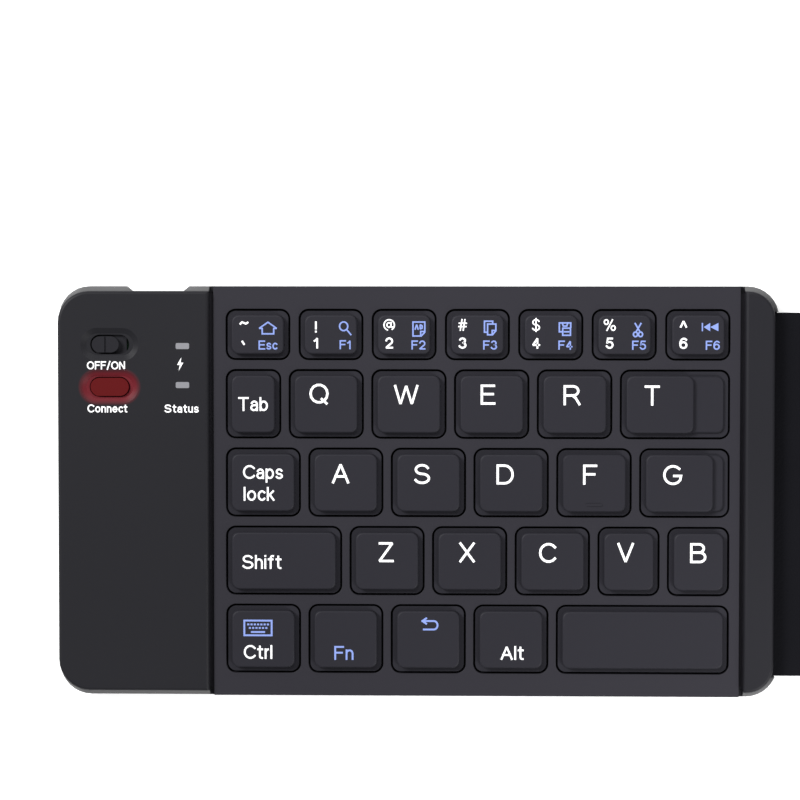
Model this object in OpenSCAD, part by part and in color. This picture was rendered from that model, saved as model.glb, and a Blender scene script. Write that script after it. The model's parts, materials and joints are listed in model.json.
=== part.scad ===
// Folding keyboard in two halves, joined by a flexible spine.
// The left half carries the controls, the right half folds over onto the left keys.
// X runs along the rows, Y towards the rear, Z up. Both halves lie flat and open.
// The origin is on the table, under the middle of the open keyboard.

/* [Keys] */
// Width of a letter key's opening
key_w = 17.3; // [16:0.1:18]
// Width of the opening of the home row's last key
end_key_w = 20.7; // [19:0.1:22]
// Depth of a number key's opening
number_key_d = 11.8; // [11:0.1:13]
// Web between two number keys
number_web = 1.9; // [1.2:0.1:2.5]
// Depth of the openings in the four lower rows
key_d = 16; // [15:0.1:17.5]
// Web between two keys in the four lower rows
key_web = 1.7; // [1.2:0.1:2.2]
// Web between two rows
row_web = 2.05; // [1.4:0.05:3]
// Width of the tab key's opening
tab_w = 12.8; // [12:0.1:13.5]
// Width of the openings of the narrow keys beside the hinge
narrow_w = 14.25; // [13:0.05:15]
// Radius of an opening's corners
key_corner = 2.3; // [1.5:0.1:2.6]
// Clearance between a keycap's skirt and its opening
key_gap = 0.475; // [0.3:0.025:0.6]
// How far a key's raised top stands in from its opening
face_inset = 1.35; // [1.1:0.05:1.5]
// Width of the raised top of a key with a side shelf
stepped_face_w = 15.6; // [14:0.1:17]
// Height of a keycap's top above the key frame
key_rise = 1.3; // [1:0.05:1.45]
// Height of a side shelf above the key frame
shelf_rise = 0.35; // [0.1:0.05:0.6]
// How far a skirt's upper face lies below the key frame
skirt_drop = 0.3; // [0.2:0.05:0.5]
// Depth of a keycap's skirt
skirt_h = 1.1; // [0.8:0.05:1.1]
// Wall of a keycap
cap_wall = 1; // [0.8:0.05:1.1]
// Thickness of a keycap's top
cap_top = 1; // [0.8:0.05:1.1]
// Travel of a key
key_travel = 1.6; // [1.2:0.1:1.6]

/* [Halves] */
// Margin between the key field and the rear edge
rear_margin = 5.2; // [4.8:0.1:6]
// Margin between the key field and the front edge
front_margin = 5.2; // [4.8:0.1:6]
// Margin between the key field and the hinge strip's groove
inner_margin = 2.3; // [2:0.1:4]
// Margin between the key field and the key frame's outer end
outer_margin = 2.8; // [2.4:0.1:4]
// Groove between the key frame and the raised covers
reveal = 1; // [0.6:0.1:1.4]
// Length of the control panel at the left end
panel_length = 34.8; // [33.5:0.1:38]
// Length of the hinge strip, from the half's end to the groove
strip_length = 7.9; // [7.7:0.1:10]
// Gap between the two halves when open
spine_gap = 12; // [11:0.5:14]
// Radius of the case's corners
corner_r = 7.2; // [6.5:0.1:7.5]
// Wall of the bottom shells
wall = 1.4; // [1.2:0.05:1.6]
// How far the rim shows outside the raised covers
rim = 1.1; // [0.8:0.05:1.2]
// Rounding of the raised covers' upper edges
edge_round = 0.7; // [0.6:0.1:1.3]
// Clearance between two fitted case parts
fit = 0.15; // [0.1:0.05:0.25]

/* [Heights] */
// How far the rubber feet stand out of the shell
foot_stand = 0.8; // [0.5:0.1:1.2]
// Thickness of a shell's floor
floor_h = 1.2; // [1.1:0.05:1.4]
// Thickness of the steel key plate
plate_h = 0.5; // [0.4:0.05:0.6]
// Thickness of the contact membrane
membrane_h = 0.3; // [0.2:0.05:0.35]
// Thickness of the rubber sheet that carries the domes
sheet_h = 0.2; // [0.15:0.05:0.3]
// Height of the key frame
frame_h = 3.2; // [3.2:0.05:3.4]
// Thickness of the key frame's flange over the shell's wall
flange_h = 1.2; // [1:0.05:1.4]
// Height of the panel and strip covers above the key frame
cover_rise = 1.6; // [1.5:0.05:1.8]
// Height of the rim above the key frame
rim_rise = 0.2; // [0.1:0.05:0.3]
// Clearance between the two hinge strips when folded
fold_gap = 0.3; // [0.2:0.05:0.5]

/* [Spine] */
// Distance from the rear edge to the spine
spine_rear = 6; // [5:0.1:8]
// Distance from the front edge to the spine
spine_front = 4.7; // [4.5:0.1:8]
// Thickness of the flexible spine
spine_h = 2.2; // [2:0.05:2.3]
// How far the spine is tucked into each half
spine_tuck = 6.5; // [5.5:0.1:6.6]
// Width of the flat cable inside the spine
cable_w = 12; // [8:0.5:16]
// Thickness of the flat cable
cable_h = 0.2; // [0.15:0.05:0.25]

/* [Controls] */
// Distance from the left end to the middle of the power slot
slot_u = 12; // [11:0.1:13]
// Distance from the rear edge to the middle of the power slot
slot_v = 13.4; // [13:0.05:14.5]
// Length of the power slot
slot_w = 9; // [8.6:0.1:9.6]
// Width of the power slot
slot_d = 4.5; // [4.2:0.1:4.8]
// Length of the power slider's knob
knob_w = 6.2; // [5.6:0.1:6.4]
// Width of the power slider's knob
knob_d = 3.7; // [3.4:0.1:3.9]
// Travel of the power slider
slider_travel = 2; // [1.6:0.1:2]
// Distance from the rear edge to the middle of the connect button
button_v = 23.15; // [23:0.05:24]
// Length of the connect button
button_w = 8.8; // [8.5:0.1:9.8]
// Width of the connect button
button_d = 4.15; // [4:0.05:4.8]
// Travel of the connect button
button_travel = 0.5; // [0.3:0.05:0.5]
// Clearance round the connect button
button_gap = 0.25; // [0.15:0.05:0.3]
// Length of the finger dishes
dish_w = 13.4; // [12.4:0.1:14]
// Width of the finger dishes
dish_d = 7.6; // [7:0.1:7.8]
// Depth of the finger dishes
dish_h = 0.7; // [0.4:0.05:0.8]
// Distance from the panel's inner end to the middle of the light windows
lamp_in = 6; // [5:0.05:7]
// Distance from the rear edge to the middle of the charging light
charge_lamp_v = 13.75; // [13:0.05:15]
// Distance from the rear edge to the middle of the status light
status_lamp_v = 22.7; // [22:0.05:24]
// Length of a light window
lamp_w = 3.1; // [2.4:0.1:3.6]
// Width of a light window
lamp_d = 1.4; // [1.2:0.05:2]
// Distance from the left end to the middle of the charging socket
socket_u = 22.8; // [22:0.1:23.5]
// Width of the charging socket
socket_w = 7.6; // [7:0.1:8]
// Height of the charging socket
socket_h = 2.6; // [2.4:0.05:2.6]
// Length of the charging socket
socket_l = 5.2; // [4.5:0.1:6]
// Width of the finger recess at the charging socket
recess_w = 12.3; // [11:0.1:13]

/* [Inside] */
// Thickness of the control board
board_h = 0.8; // [0.6:0.05:1]
// Height of the control board above the shell's floor
board_rise = 0.9; // [0.85:0.05:0.95]
// Depth of the control board, from the rear to the front
board_d = 33; // [31:0.5:35]
// Room between the battery and the key frame's tongue
battery_side = 3.2; // [2:0.1:6]
// Room between the battery and the panel's front screw post
battery_front = 2.3; // [1.5:0.1:8]
// Thickness of the battery
battery_h = 3.4; // [3:0.1:3.6]
// Radius of a scissor link's pins
pin_r = 0.45; // [0.4:0.01:0.46]
// Largest radius of a rubber dome
dome_r_max = 3; // [2.4:0.1:3.2]
// Radius of a screw's shank
screw_r = 0.7; // [0.6:0.05:0.8]
// Radius of a screw's head
screw_head_r = 1.4; // [1.2:0.05:1.5]
// Height of a screw's head
screw_head_h = 0.6; // [0.5:0.05:0.7]

/* [Hidden] */
ROUND_FN = 48;
HULL_FN = 32;
CORNER_STEPS = 4;
COVER_STEPS = 8;
CUT = 0.5;

// Heights, from the table up.
floor_top = foot_stand + floor_h;
plate_top = floor_top + plate_h;
membrane_top = plate_top + membrane_h;
sheet_top = membrane_top + sheet_h;
frame_top = sheet_top + frame_h;
flange_z = frame_top - flange_h;
rim_top = frame_top + rim_rise;
cover_top = frame_top + cover_rise;
cover_h = cover_top - rim_top;
key_top = frame_top + key_rise;
shelf_top = frame_top + shelf_rise;
skirt_top = frame_top - skirt_drop;
skirt_z = skirt_top - skirt_h;
ceiling_z = key_top - cap_top;
spine_top = floor_top + spine_h;
board_z = floor_top + board_rise;
board_top = board_z + board_h;
fold_z = cover_top + fold_gap / 2;

// Places along a half, measured from its hinge end.
frame_start = strip_length + reveal;
field_start = frame_start + inner_margin;
field_w = 5 * (key_w + key_web) + end_key_w;
number_key_w = (field_w - 6 * number_web) / 7;
frame_end = field_start + field_w + outer_margin;
panel_start = frame_end + reveal;
left_length = panel_start + panel_length;
right_length = frame_end;
tight_r = 0.3;
least_r = 0.1;
strip_lap = 0.6;
cable_lap = 1.1;
stack_start = strip_length - strip_lap;
lap_end = frame_start + cable_lap;
tongue = 2;

// Places across a half.
depth = rear_margin + number_key_d + 4 * (row_web + key_d) + front_margin;
rear_y = depth / 2;
spine_w = depth - spine_rear - spine_front;
spine_y = (spine_front - spine_rear) / 2;

// The whole keyboard is centred on the origin.
total_length = left_length + spine_gap + right_length;
fold_x = left_length + spine_gap / 2 - total_length / 2;
left_field_x = fold_x - spine_gap / 2 - field_start - field_w;
right_field_x = fold_x + spine_gap / 2 + field_start;

// Key rows, from the rear to the front. Each key has a name and the width of its opening.
// A width of 0 takes what is left of the row, and a third value is the width of a stepped top.
LEFT_ROWS = [
    [["key_backquote", number_key_w], ["key_1", number_key_w], ["key_2", number_key_w],
     ["key_3", number_key_w], ["key_4", number_key_w], ["key_5", number_key_w],
     ["key_6", number_key_w]],
    [["key_tab", tab_w], ["key_q", key_w], ["key_w", key_w], ["key_e", key_w],
     ["key_r", key_w], ["key_t", 0, stepped_face_w]],
    [["key_caps_lock", key_w], ["key_a", key_w], ["key_s", key_w], ["key_d", key_w],
     ["key_f", key_w], ["key_g", 0, stepped_face_w]],
    [["key_left_shift", 0], ["key_z", key_w], ["key_x", key_w], ["key_c", key_w],
     ["key_v", narrow_w], ["key_b", narrow_w]],
    [["key_ctrl", key_w], ["key_fn", key_w], ["key_meta", key_w], ["key_alt", key_w],
     ["key_left_space", 0]],
];
RIGHT_ROWS = [
    [["7", number_key_w], ["8", number_key_w], ["9", number_key_w], ["0", number_key_w],
     ["minus", number_key_w], ["equals", number_key_w], ["delete", number_key_w]],
    [["y", key_w], ["u", key_w], ["i", key_w], ["o", key_w], ["p", key_w],
     ["backspace", 0]],
    [["h", key_w], ["j", key_w], ["k", key_w], ["l", key_w], ["semicolon", key_w],
     ["enter", 0]],
    [["n", narrow_w], ["m", key_w], ["comma", key_w], ["period", key_w], ["slash", key_w],
     ["right_shift", 0]],
    [["right_space", 2 * key_w + key_web], ["left_arrow", key_w], ["up_arrow", key_w],
     ["down_arrow", key_w], ["right_arrow", 0]],
];

function row_d(r) = r == 0 ? number_key_d : key_d;
function web(r) = r == 0 ? number_web : key_web;
function row_v(r) = rear_margin + (r == 0 ? 0 : number_key_d + row_web + (r - 1) * (key_d + row_web));
function sum(list, n) = n <= 0 ? 0 : list[n - 1] + sum(list, n - 1);
function stated_w(row) = [for (k = row) k[1]];
function rest_w(row, r) = field_w - sum(stated_w(row), len(row)) - (len(row) - 1) * web(r);
function widths(row, r) = [for (k = row) k[1] > 0 ? k[1] : rest_w(row, r)];

// One key: name, middle x, middle y, opening width, opening depth, top width, top's middle x, row.
function key_at(k, x, w, r) =
    let (top_w = len(k) > 2 ? k[2] : w - 2 * face_inset,
         y = rear_y - row_v(r) - row_d(r) / 2)
    [k[0], x + w / 2, y, w, row_d(r), top_w, x + face_inset + top_w / 2, r];
function layout(rows, x0) = [
    for (r = [0:len(rows) - 1])
        let (w = widths(rows[r], r))
        for (i = [0:len(rows[r]) - 1])
            key_at(rows[r][i], x0 + sum(w, i) + i * web(r), w[i], r)];

LEFT_KEYS = layout(LEFT_ROWS, left_field_x);
RIGHT_KEYS = layout(RIGHT_ROWS, right_field_x);
NAME = 0;
KEY_X = 1;
KEY_Y = 2;
KEY_W = 3;
KEY_D = 4;
TOP_W = 5;
TOP_X = 6;
ROW = 7;
LAST_ROW = 4;

// Sizes of a keycap.
cap_draft = 0.08;
cap_soft = 0.25;
hollow_r = 0.6;
plunger_r = 1.1;
homing_w = 3.6;
homing_d = 0.6;
homing_h = 0.15;
homing_y = 4.95;

// Sizes of the scissor mechanism under a key.
bar_w = 0.6;
bar_h = 0.7;
pin_l = 0.6;
link_gap = 0.1;
hook_t = 0.3;
hook_w = 0.4;
hook_gap = 0.05;
mech_w_max = 6.1;
mech_l_max = 4.2;
wide_key = 30;
low_z = sheet_top + pin_r + hook_gap;
high_z = ceiling_z - pin_r - hook_gap;
function top_d(k) = k[KEY_D] - 2 * face_inset;
function mech_w(k) = min(mech_w_max, k[TOP_W] / 2 - cap_wall - 2 * link_gap);
function mech_l(k) = min(mech_l_max, top_d(k) / 2 - cap_wall - pin_r - hook_t - 2 * link_gap);
function outer_bar(k) = mech_w(k) - pin_l - bar_w;
function inner_bar(k) = outer_bar(k) - link_gap - bar_w;
function dome_r(k) = min(dome_r_max, inner_bar(k) - link_gap, mech_l(k) - pin_r - link_gap);
function mech_places(k) = k[TOP_W] > wide_key ? [-k[TOP_W] / 4, k[TOP_W] / 4] : [0];

// Screws, as distances from the hinge end and from the rear edge.
screw_v = 3.3;
screw_in = 8;
FRAME_SCREWS = [
    for (s = [frame_start + screw_in, field_start + field_w / 2, frame_end - screw_in])
        for (v = [screw_v, depth - screw_v])
            [s, v]];
strip_post_shift = 0.3;
strip_post_s = strip_length / 2 + strip_post_shift;
STRIP_SCREWS = [for (i = [0:3]) [strip_post_s, spine_rear + spine_w * (2 * i + 1) / 8]];
PANEL_SCREWS = [for (v = [corner_r, depth - corner_r]) [left_length - corner_r, v]];
post_wall = 0.9;
post_r = screw_r + post_wall;
shank_gap = 0.02;
hole_gap = 0.3;
screw_bite = 2.2;
bite_gap = 0.2;
cross_w = 1.5;
cross_t = 0.35;
cross_h = 0.5;

// Feet, as distances from the half's two ends and from the rear and front edges.
foot_w = 12;
foot_d = 3.2;
foot_recess = 0.3;
foot_in = 16;
foot_v = 9.5;
function feet(length) = [
    for (s = [foot_in, length - foot_in])
        for (v = [foot_v, depth - foot_v])
            [s, v]];

CASE = [0.17, 0.17, 0.19];
FRAME = [0.20, 0.20, 0.22];
CAP = [0.19, 0.19, 0.21];
SPINE = [0.09, 0.09, 0.10];
STEEL = [0.62, 0.63, 0.65];
FILM = [0.78, 0.86, 0.80];
SILICONE = [0.14, 0.14, 0.15];
LINK = [0.93, 0.93, 0.90];
RUBBER = [0.08, 0.08, 0.08];
BOARD = [0.10, 0.35, 0.20];
FOIL = [0.70, 0.71, 0.73];
LAMP = [0.66, 0.66, 0.68];
RED = [0.45, 0.11, 0.12];
COPPER = [0.75, 0.45, 0.15];

// ---- Shapes that repeat ----

// Both halves are drawn with the fold at x = 0 and the half towards -x.
module left_half() {
    translate([fold_x, 0, 0]) children();
}

module right_half() {
    translate([fold_x, 0, 0]) mirror([1, 0, 0]) children();
}

// Moves to a place on a half, from its hinge end and the rear edge.
module at(s, v, z = 0) {
    translate([-spine_gap / 2 - s, rear_y - v, z]) children();
}

module at_all(places, z = 0) {
    for (p = places) at(p[0], p[1], z) children();
}

module rounded_rect(w, d, r) {
    square([w - 2 * r, d], center = true);
    square([w, d - 2 * r], center = true);
    for (x = [-1, 1]) {
        for (y = [-1, 1]) {
            translate([x * (w / 2 - r), y * (d / 2 - r)]) circle(r = r, $fn = ROUND_FN);
        }
    }
}

module rounded_block(w, d, r, h) {
    linear_extrude(h) rounded_rect(w, d, r);
}

module pill(w, d, h) {
    linear_extrude(h) {
        square([w - d, d], center = true);
        for (x = [-1, 1]) translate([x * (w - d) / 2, 0]) circle(d = d, $fn = ROUND_FN);
    }
}

// A block from s0 to s1 and from v0 to v1.
module block(s0, s1, v0, v1, h) {
    translate([-spine_gap / 2 - s1, rear_y - v1, 0]) cube([s1 - s0, v1 - v0, h]);
}

// Points of a rounded rectangle with few steps at each corner, for keycap tops.
function soft_rect(w, d, r) = [
    for (q = [0:3]) for (i = [0:CORNER_STEPS])
        let (a = 90 * (q + i / CORNER_STEPS),
             sx = q == 0 || q == 3 ? 1 : -1,
             sy = q < 2 ? 1 : -1)
        [sx * (w / 2 - r) + r * cos(a), sy * (d / 2 - r) + r * sin(a)]];

// One level of a hulled cover: its four corners, with one radius at each end.
module level(s0, s1, v0, v1, r_hinge, r_far, z, h) {
    for (v = [v0, v1]) {
        side = v == v0 ? 1 : -1;
        at(s0 + r_hinge, v + side * r_hinge, z) cylinder(r = r_hinge, h = h, $fn = HULL_FN);
        at(s1 - r_far, v + side * r_far, z) cylinder(r = r_far, h = h, $fn = HULL_FN);
    }
}

// A solid lofted through rings of points, each ring given with its height.
module loft(rings) {
    n = len(rings[0][0]);
    last = len(rings) - 1;
    points = [for (ring = rings) for (p = ring[0]) [p.x, p.y, ring[1]]];
    sides = [for (j = [0:last - 1]) for (i = [0:n - 1])
        [j * n + i, (j + 1) * n + i, (j + 1) * n + (i + 1) % n, j * n + (i + 1) % n]];
    polyhedron(points, concat([[for (i = [0:n - 1]) i]], sides, [[for (i = [n - 1:-1:0]) last * n + i]]));
}

// Points of a cover's outline, with one radius at the hinge side and one at the far side.
function outline(s0, s1, in, r_hinge, r_far) = [
    for (q = [0:3]) for (i = [0:COVER_STEPS])
        let (a = 90 * (q + i / COVER_STEPS),
             at_hinge = q == 0 || q == 3,
             r = max((at_hinge ? r_hinge : r_far) - in, least_r),
             x = at_hinge ? -spine_gap / 2 - s0 - in - r : -spine_gap / 2 - s1 + in + r,
             y = rear_y - rim - in - r)
        [x + r * cos(a), (q < 2 ? y : -y) + r * sin(a)]];

// A raised cover with rounded upper edges, standing on the rim.
module cover_plate(s0, s1, r_hinge, r_far) {
    loft(concat(
        [[outline(s0, s1, 0, r_hinge, r_far), rim_top]],
        [for (a = [0:30:90])
            [outline(s0, s1, edge_round * (1 - cos(a)), r_hinge, r_far),
             cover_top - edge_round * (1 - sin(a))]]));
}

// ---- Case ----

// The outside of a bottom shell: a chamfered lower edge, and a rim that leans in at the top.
module shell_body(length) {
    chamfer = 0.7;
    thin = 0.02;
    hull() {
        level(chamfer, length - chamfer, chamfer, depth - chamfer, corner_r - chamfer,
              corner_r - chamfer, foot_stand, thin);
        level(0, length, 0, depth, corner_r, corner_r, foot_stand + chamfer,
              flange_z - foot_stand - chamfer);
        level(rim, length, rim, depth - rim, corner_r - rim, corner_r, rim_top - thin, thin);
    }
}

module shell_cavity(length) {
    translate([-spine_gap / 2 - length / 2, 0, floor_top])
        rounded_block(length - 2 * wall, depth - 2 * wall, corner_r - wall, rim_top);
}

module screw_ways(places) {
    at_all(places, foot_stand - CUT) cylinder(r = screw_r + shank_gap, h = floor_h + 2 * CUT, $fn = ROUND_FN);
    at_all(places, foot_stand - CUT)
        cylinder(r = screw_head_r + 2 * shank_gap, h = screw_head_h + CUT, $fn = ROUND_FN);
}

module shell(length, key_end, screws) {
    difference() {
        shell_body(length);
        shell_cavity(length);
        // The key frame's flange lies on the wall.
        translate([0, 0, flange_z]) block(strip_length, key_end, -CUT, depth + CUT, rim_top);
        // The spine comes in over the floor.
        translate([0, 0, floor_top])
            block(-CUT, wall + 2 * CUT, spine_rear - fit, depth - spine_front + fit, rim_top);
        at_all(feet(length), foot_stand - CUT) pill(foot_w, foot_d, foot_recess + CUT);
        screw_ways(screws);
    }
}

// The recess at the charging socket, with slanted ends.
module socket_recess() {
    slant = 1.2;
    at(left_length - socket_u, 0, -CUT) linear_extrude(cover_top)
        polygon([[-recess_w / 2 - slant, CUT], [recess_w / 2 + slant, CUT],
                 [recess_w / 2 + slant, 0], [recess_w / 2, -rim],
                 [-recess_w / 2, -rim], [-recess_w / 2 - slant, 0]]);
}

module left_bottom_shell() {
    pad_side = 2;
    pad_w = recess_w + 2 * pad_side;
    rib_h = board_top - floor_top - fit;
    rib_half = 8;
    rib_t = 0.8;
    rib_gap = 0.3;
    color(CASE) left_half() difference() {
        union() {
            shell(left_length, panel_start, concat(FRAME_SCREWS, STRIP_SCREWS, PANEL_SCREWS));
            // The wall behind the recess steps in with it.
            at(left_length - socket_u, 0, floor_top - CUT) translate([-pad_w / 2, -rim - wall, 0])
                cube([pad_w, wall, rim_top - floor_top + CUT]);
            // Bosses that carry the control board.
            at_all(BOARD_BOSSES, floor_top - CUT) cylinder(r = boss_r, h = board_rise + CUT, $fn = ROUND_FN);
            // Ribs that hold the battery.
            for (v = [battery_v - battery_d / 2 - rib_gap - rib_t, battery_v + battery_d / 2 + rib_gap])
                translate([0, 0, floor_top - CUT])
                    block(left_length - battery_u - rib_half, left_length - battery_u + rib_half,
                          v, v + rib_t, rib_h + CUT);
        }
        socket_recess();
        at(left_length - socket_u, 0, board_top - fit)
            translate([-socket_w / 2 - fit, -socket_l, 0]) cube([socket_w + 2 * fit, 2 * socket_l, rim_top]);
    }
}

module right_bottom_shell() {
    color(CASE) right_half()
        shell(right_length, right_length + CUT, concat(FRAME_SCREWS, STRIP_SCREWS));
}

// The plain frame: a flange over the wall, and a block inside it down to the dome sheet.
module frame_blank(inner_end) {
    side = wall + fit;
    translate([0, 0, flange_z]) block(frame_start, frame_end, 0, depth, flange_h);
    translate([0, 0, sheet_top]) block(stack_start, inner_end, side, depth - side, flange_z - sheet_top);
}

module key_openings(keys) {
    for (k = keys) {
        translate([k[KEY_X], k[KEY_Y], sheet_top - CUT])
            rounded_block(k[KEY_W], k[KEY_D], key_corner, frame_h + 2 * CUT);
    }
}

// Blind pilot holes for the screws.
module pilots(places, z) {
    at_all(places, z - CUT) cylinder(r = screw_r + shank_gap, h = screw_bite + CUT, $fn = ROUND_FN);
}

module left_key_frame() {
    color(FRAME) difference() {
        left_half() difference() {
            frame_blank(panel_start + tongue);
            pilots(FRAME_SCREWS, sheet_top);
        }
        key_openings(LEFT_KEYS);
    }
}

module right_key_frame() {
    color(FRAME) difference() {
        right_half() difference() {
            intersection() {
                frame_blank(right_length - wall - fit);
                union() {
                    translate([-spine_gap / 2 - right_length / 2, 0, flange_z])
                        rounded_block(right_length, depth, corner_r, flange_h);
                    translate([-spine_gap / 2 - right_length / 2, 0, sheet_top])
                        rounded_block(right_length - 2 * (wall + fit), depth - 2 * (wall + fit),
                                      corner_r - wall - fit, flange_z - sheet_top);
                }
            }
            pilots(FRAME_SCREWS, sheet_top);
        }
        key_openings(RIGHT_KEYS);
    }
}

// Posts that hang from a cover to the shell's floor and take its screws.
module posts(places) {
    difference() {
        at_all(places, floor_top) cylinder(r = post_r, h = rim_top - floor_top + CUT, $fn = ROUND_FN);
        pilots(places, floor_top);
    }
}

// A finger dish with sloping sides: a cone at each end and a trough between them.
module dish(s, v) {
    slope = 1.3;
    half = dish_d / 2;
    h = dish_h + CUT;
    rise = slope * CUT / dish_h;
    at(s, v, cover_top - dish_h) {
        for (x = [-1, 1])
            translate([x * (dish_w / 2 - half), 0, 0])
                cylinder(r1 = half - slope, r2 = half + rise, h = h, $fn = ROUND_FN);
        rotate([90, 0, 90]) linear_extrude(dish_w - dish_d, center = true)
            polygon([[slope - half, 0], [half - slope, 0], [half + rise, h], [-half - rise, h]]);
    }
}

module control_panel_cover() {
    lip_h = 0.8;
    lip_t = 1;
    lip_in = 4;
    wall_in = 0.8;
    s_slot = left_length - slot_u;
    color(CASE) left_half() difference() {
        union() {
            cover_plate(panel_start, left_length, tight_r, corner_r);
            // The wall beside the keys stands on the key frame's tongue.
            translate([0, 0, flange_z])
                block(panel_start, panel_start + tongue - wall_in, wall + fit, depth - wall - fit,
                      cover_h + rim_top - flange_z - edge_round);
            // A lip inside the shell's front wall keeps the cover in place.
            translate([0, 0, rim_top - lip_h])
                block(panel_start + lip_in, left_length - corner_r - lip_in / 2,
                      depth - wall - fit - lip_t, depth - wall - fit, lip_h + CUT);
            posts(PANEL_SCREWS);
        }
        dish(s_slot, slot_v);
        dish(s_slot, button_v);
        at(s_slot, slot_v, rim_top - CUT) pill(slot_w, slot_d, cover_h + 2 * CUT);
        at(s_slot, button_v, rim_top - CUT)
            pill(button_w + 2 * button_gap, button_d + 2 * button_gap, cover_h + 2 * CUT);
        for (v = [charge_lamp_v, status_lamp_v])
            at(left_length - lamp_u, v, rim_top - CUT)
                rounded_block(lamp_w + 2 * lamp_fit, lamp_d + 2 * lamp_fit, lamp_r + lamp_fit,
                              cover_h + 2 * CUT);
    }
}

module hinge_strip() {
    difference() {
        union() {
            cover_plate(rim, strip_length, corner_r - rim, tight_r);
            // The wall beside the keys stands on the key frame's tongue.
            translate([0, 0, flange_z])
                block(stack_start, strip_length, wall + fit, depth - wall - fit,
                      cover_h + rim_top - flange_z - edge_round);
            // The wall beside the gap holds the spine down.
            translate([0, 0, spine_top + hook_gap])
                block(rim, rim + wall, spine_rear, depth - spine_front, rim_top - spine_top);
            posts(STRIP_SCREWS);
        }
        pilots(STRIP_SCREWS, floor_top);
    }
}

module left_hinge_strip() {
    color(CASE) left_half() hinge_strip();
}

module right_hinge_strip() {
    color(CASE) right_half() hinge_strip();
}

// ---- Feet and screws ----

module half_feet(length) {
    at_all(feet(length)) pill(foot_w, foot_d, foot_stand + foot_recess);
}

module left_feet() {
    color(RUBBER) left_half() half_feet(left_length);
}

module right_feet() {
    color(RUBBER) right_half() half_feet(right_length);
}

module screw(length) {
    translate([0, 0, foot_stand]) difference() {
        union() {
            cylinder(r = screw_head_r, h = screw_head_h, $fn = ROUND_FN);
            cylinder(r = screw_r, h = length, $fn = ROUND_FN);
        }
        for (a = [0, 90]) rotate([0, 0, a]) cube([cross_w, cross_t, cross_h], center = true);
    }
}

module screws(frame_places, post_places) {
    at_all(frame_places) screw(sheet_top + screw_bite - bite_gap - foot_stand);
    at_all(post_places) screw(floor_top + screw_bite - bite_gap - foot_stand);
}

module left_screws() {
    color(STEEL) left_half() screws(FRAME_SCREWS, concat(STRIP_SCREWS, PANEL_SCREWS));
}

module right_screws() {
    color(STEEL) right_half() screws(FRAME_SCREWS, STRIP_SCREWS);
}

// ---- Key mechanism ----

// A steel hook over a pin: its leg stands on the side that `side` points to.
module hook(side, z0, z1, lip_z) {
    leg_y = pin_r + hook_gap;
    translate([-hook_w / 2, side > 0 ? leg_y : -leg_y - hook_t, z0]) cube([hook_w, hook_t, z1 - z0]);
    translate([-hook_w / 2, side > 0 ? -pin_r / 2 : -leg_y - hook_t, lip_z])
        cube([hook_w, leg_y + hook_t + pin_r / 2, hook_t]);
}

// Places of a key's hooks: pins of the outer link at one end, the inner link's bar at the other.
function outer_hook_x(k) = mech_w(k) - pin_l / 2;
function inner_hook_x(k) = inner_bar(k) - link_gap - hook_w / 2;

module at_mechs(keys) {
    for (k = keys) {
        for (dx = mech_places(k)) {
            $k = k;
            translate([k[TOP_X] + dx, k[KEY_Y], 0]) children();
        }
    }
}

module plate_hooks() {
    top = low_z + pin_r + hook_gap + hook_t;
    for (x = [-1, 1]) {
        translate([x * outer_hook_x($k), -mech_l($k), 0]) hook(-1, plate_top - hook_gap, top, top - hook_t);
        translate([x * inner_hook_x($k), mech_l($k), 0]) hook(1, plate_top - hook_gap, top, top - hook_t);
    }
}

// The holes that the plate's hooks pass through.
module hook_holes(z, h) {
    reach = pin_r + hook_gap + hook_t + link_gap;
    for (x = [-1, 1]) {
        translate([x * outer_hook_x($k) - hook_w / 2 - link_gap, -mech_l($k) - reach, z])
            cube([hook_w + 2 * link_gap, 2 * hook_t, h]);
        translate([x * inner_hook_x($k) - hook_w / 2 - link_gap, mech_l($k) + reach - 2 * hook_t, z])
            cube([hook_w + 2 * link_gap, 2 * hook_t, h]);
    }
}

// A flat layer of the key stack, with clearance holes for the screws.
module layer(s0, s1, z, h) {
    side = wall + 2 * fit;
    difference() {
        translate([0, 0, z]) block(s0, s1, side, depth - side, h);
        at_all(FRAME_SCREWS, z - CUT) cylinder(r = screw_r + hole_gap, h = h + 2 * CUT, $fn = ROUND_FN);
    }
}

module round_end(z, h) {
    translate([-spine_gap / 2 - right_length / 2, 0, z])
        rounded_block(right_length - 2 * wall - 2 * fit, depth - 2 * wall - 2 * fit, corner_r - wall, h);
}

module left_key_plate() {
    color(STEEL) {
        left_half() layer(stack_start, panel_start + tongue, floor_top, plate_h);
        at_mechs(LEFT_KEYS) plate_hooks();
    }
}

module right_key_plate() {
    color(STEEL) {
        right_half() intersection() {
            layer(stack_start, right_length, floor_top, plate_h);
            round_end(floor_top, plate_h);
        }
        at_mechs(RIGHT_KEYS) plate_hooks();
    }
}

module left_membrane() {
    tail_w = 12;
    tail_l = 6;
    color(FILM) difference() {
        left_half() union() {
            layer(stack_start, panel_start + tongue, plate_top, membrane_h);
            // The tail runs under the control board.
            translate([0, 0, plate_top])
                block(panel_start, panel_start + tongue + tail_l, board_mid_v - tail_w / 2,
                      board_mid_v + tail_w / 2, membrane_h);
        }
        at_mechs(LEFT_KEYS) hook_holes(plate_top - CUT, membrane_h + 2 * CUT);
    }
}

module right_membrane() {
    color(FILM) difference() {
        right_half() intersection() {
            layer(stack_start, right_length, plate_top, membrane_h);
            round_end(plate_top, membrane_h);
        }
        at_mechs(RIGHT_KEYS) hook_holes(plate_top - CUT, membrane_h + 2 * CUT);
    }
}

dome_wall = 0.4;
dome_shoulder = 0.55;
dome_button_r = 0.9;

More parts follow.
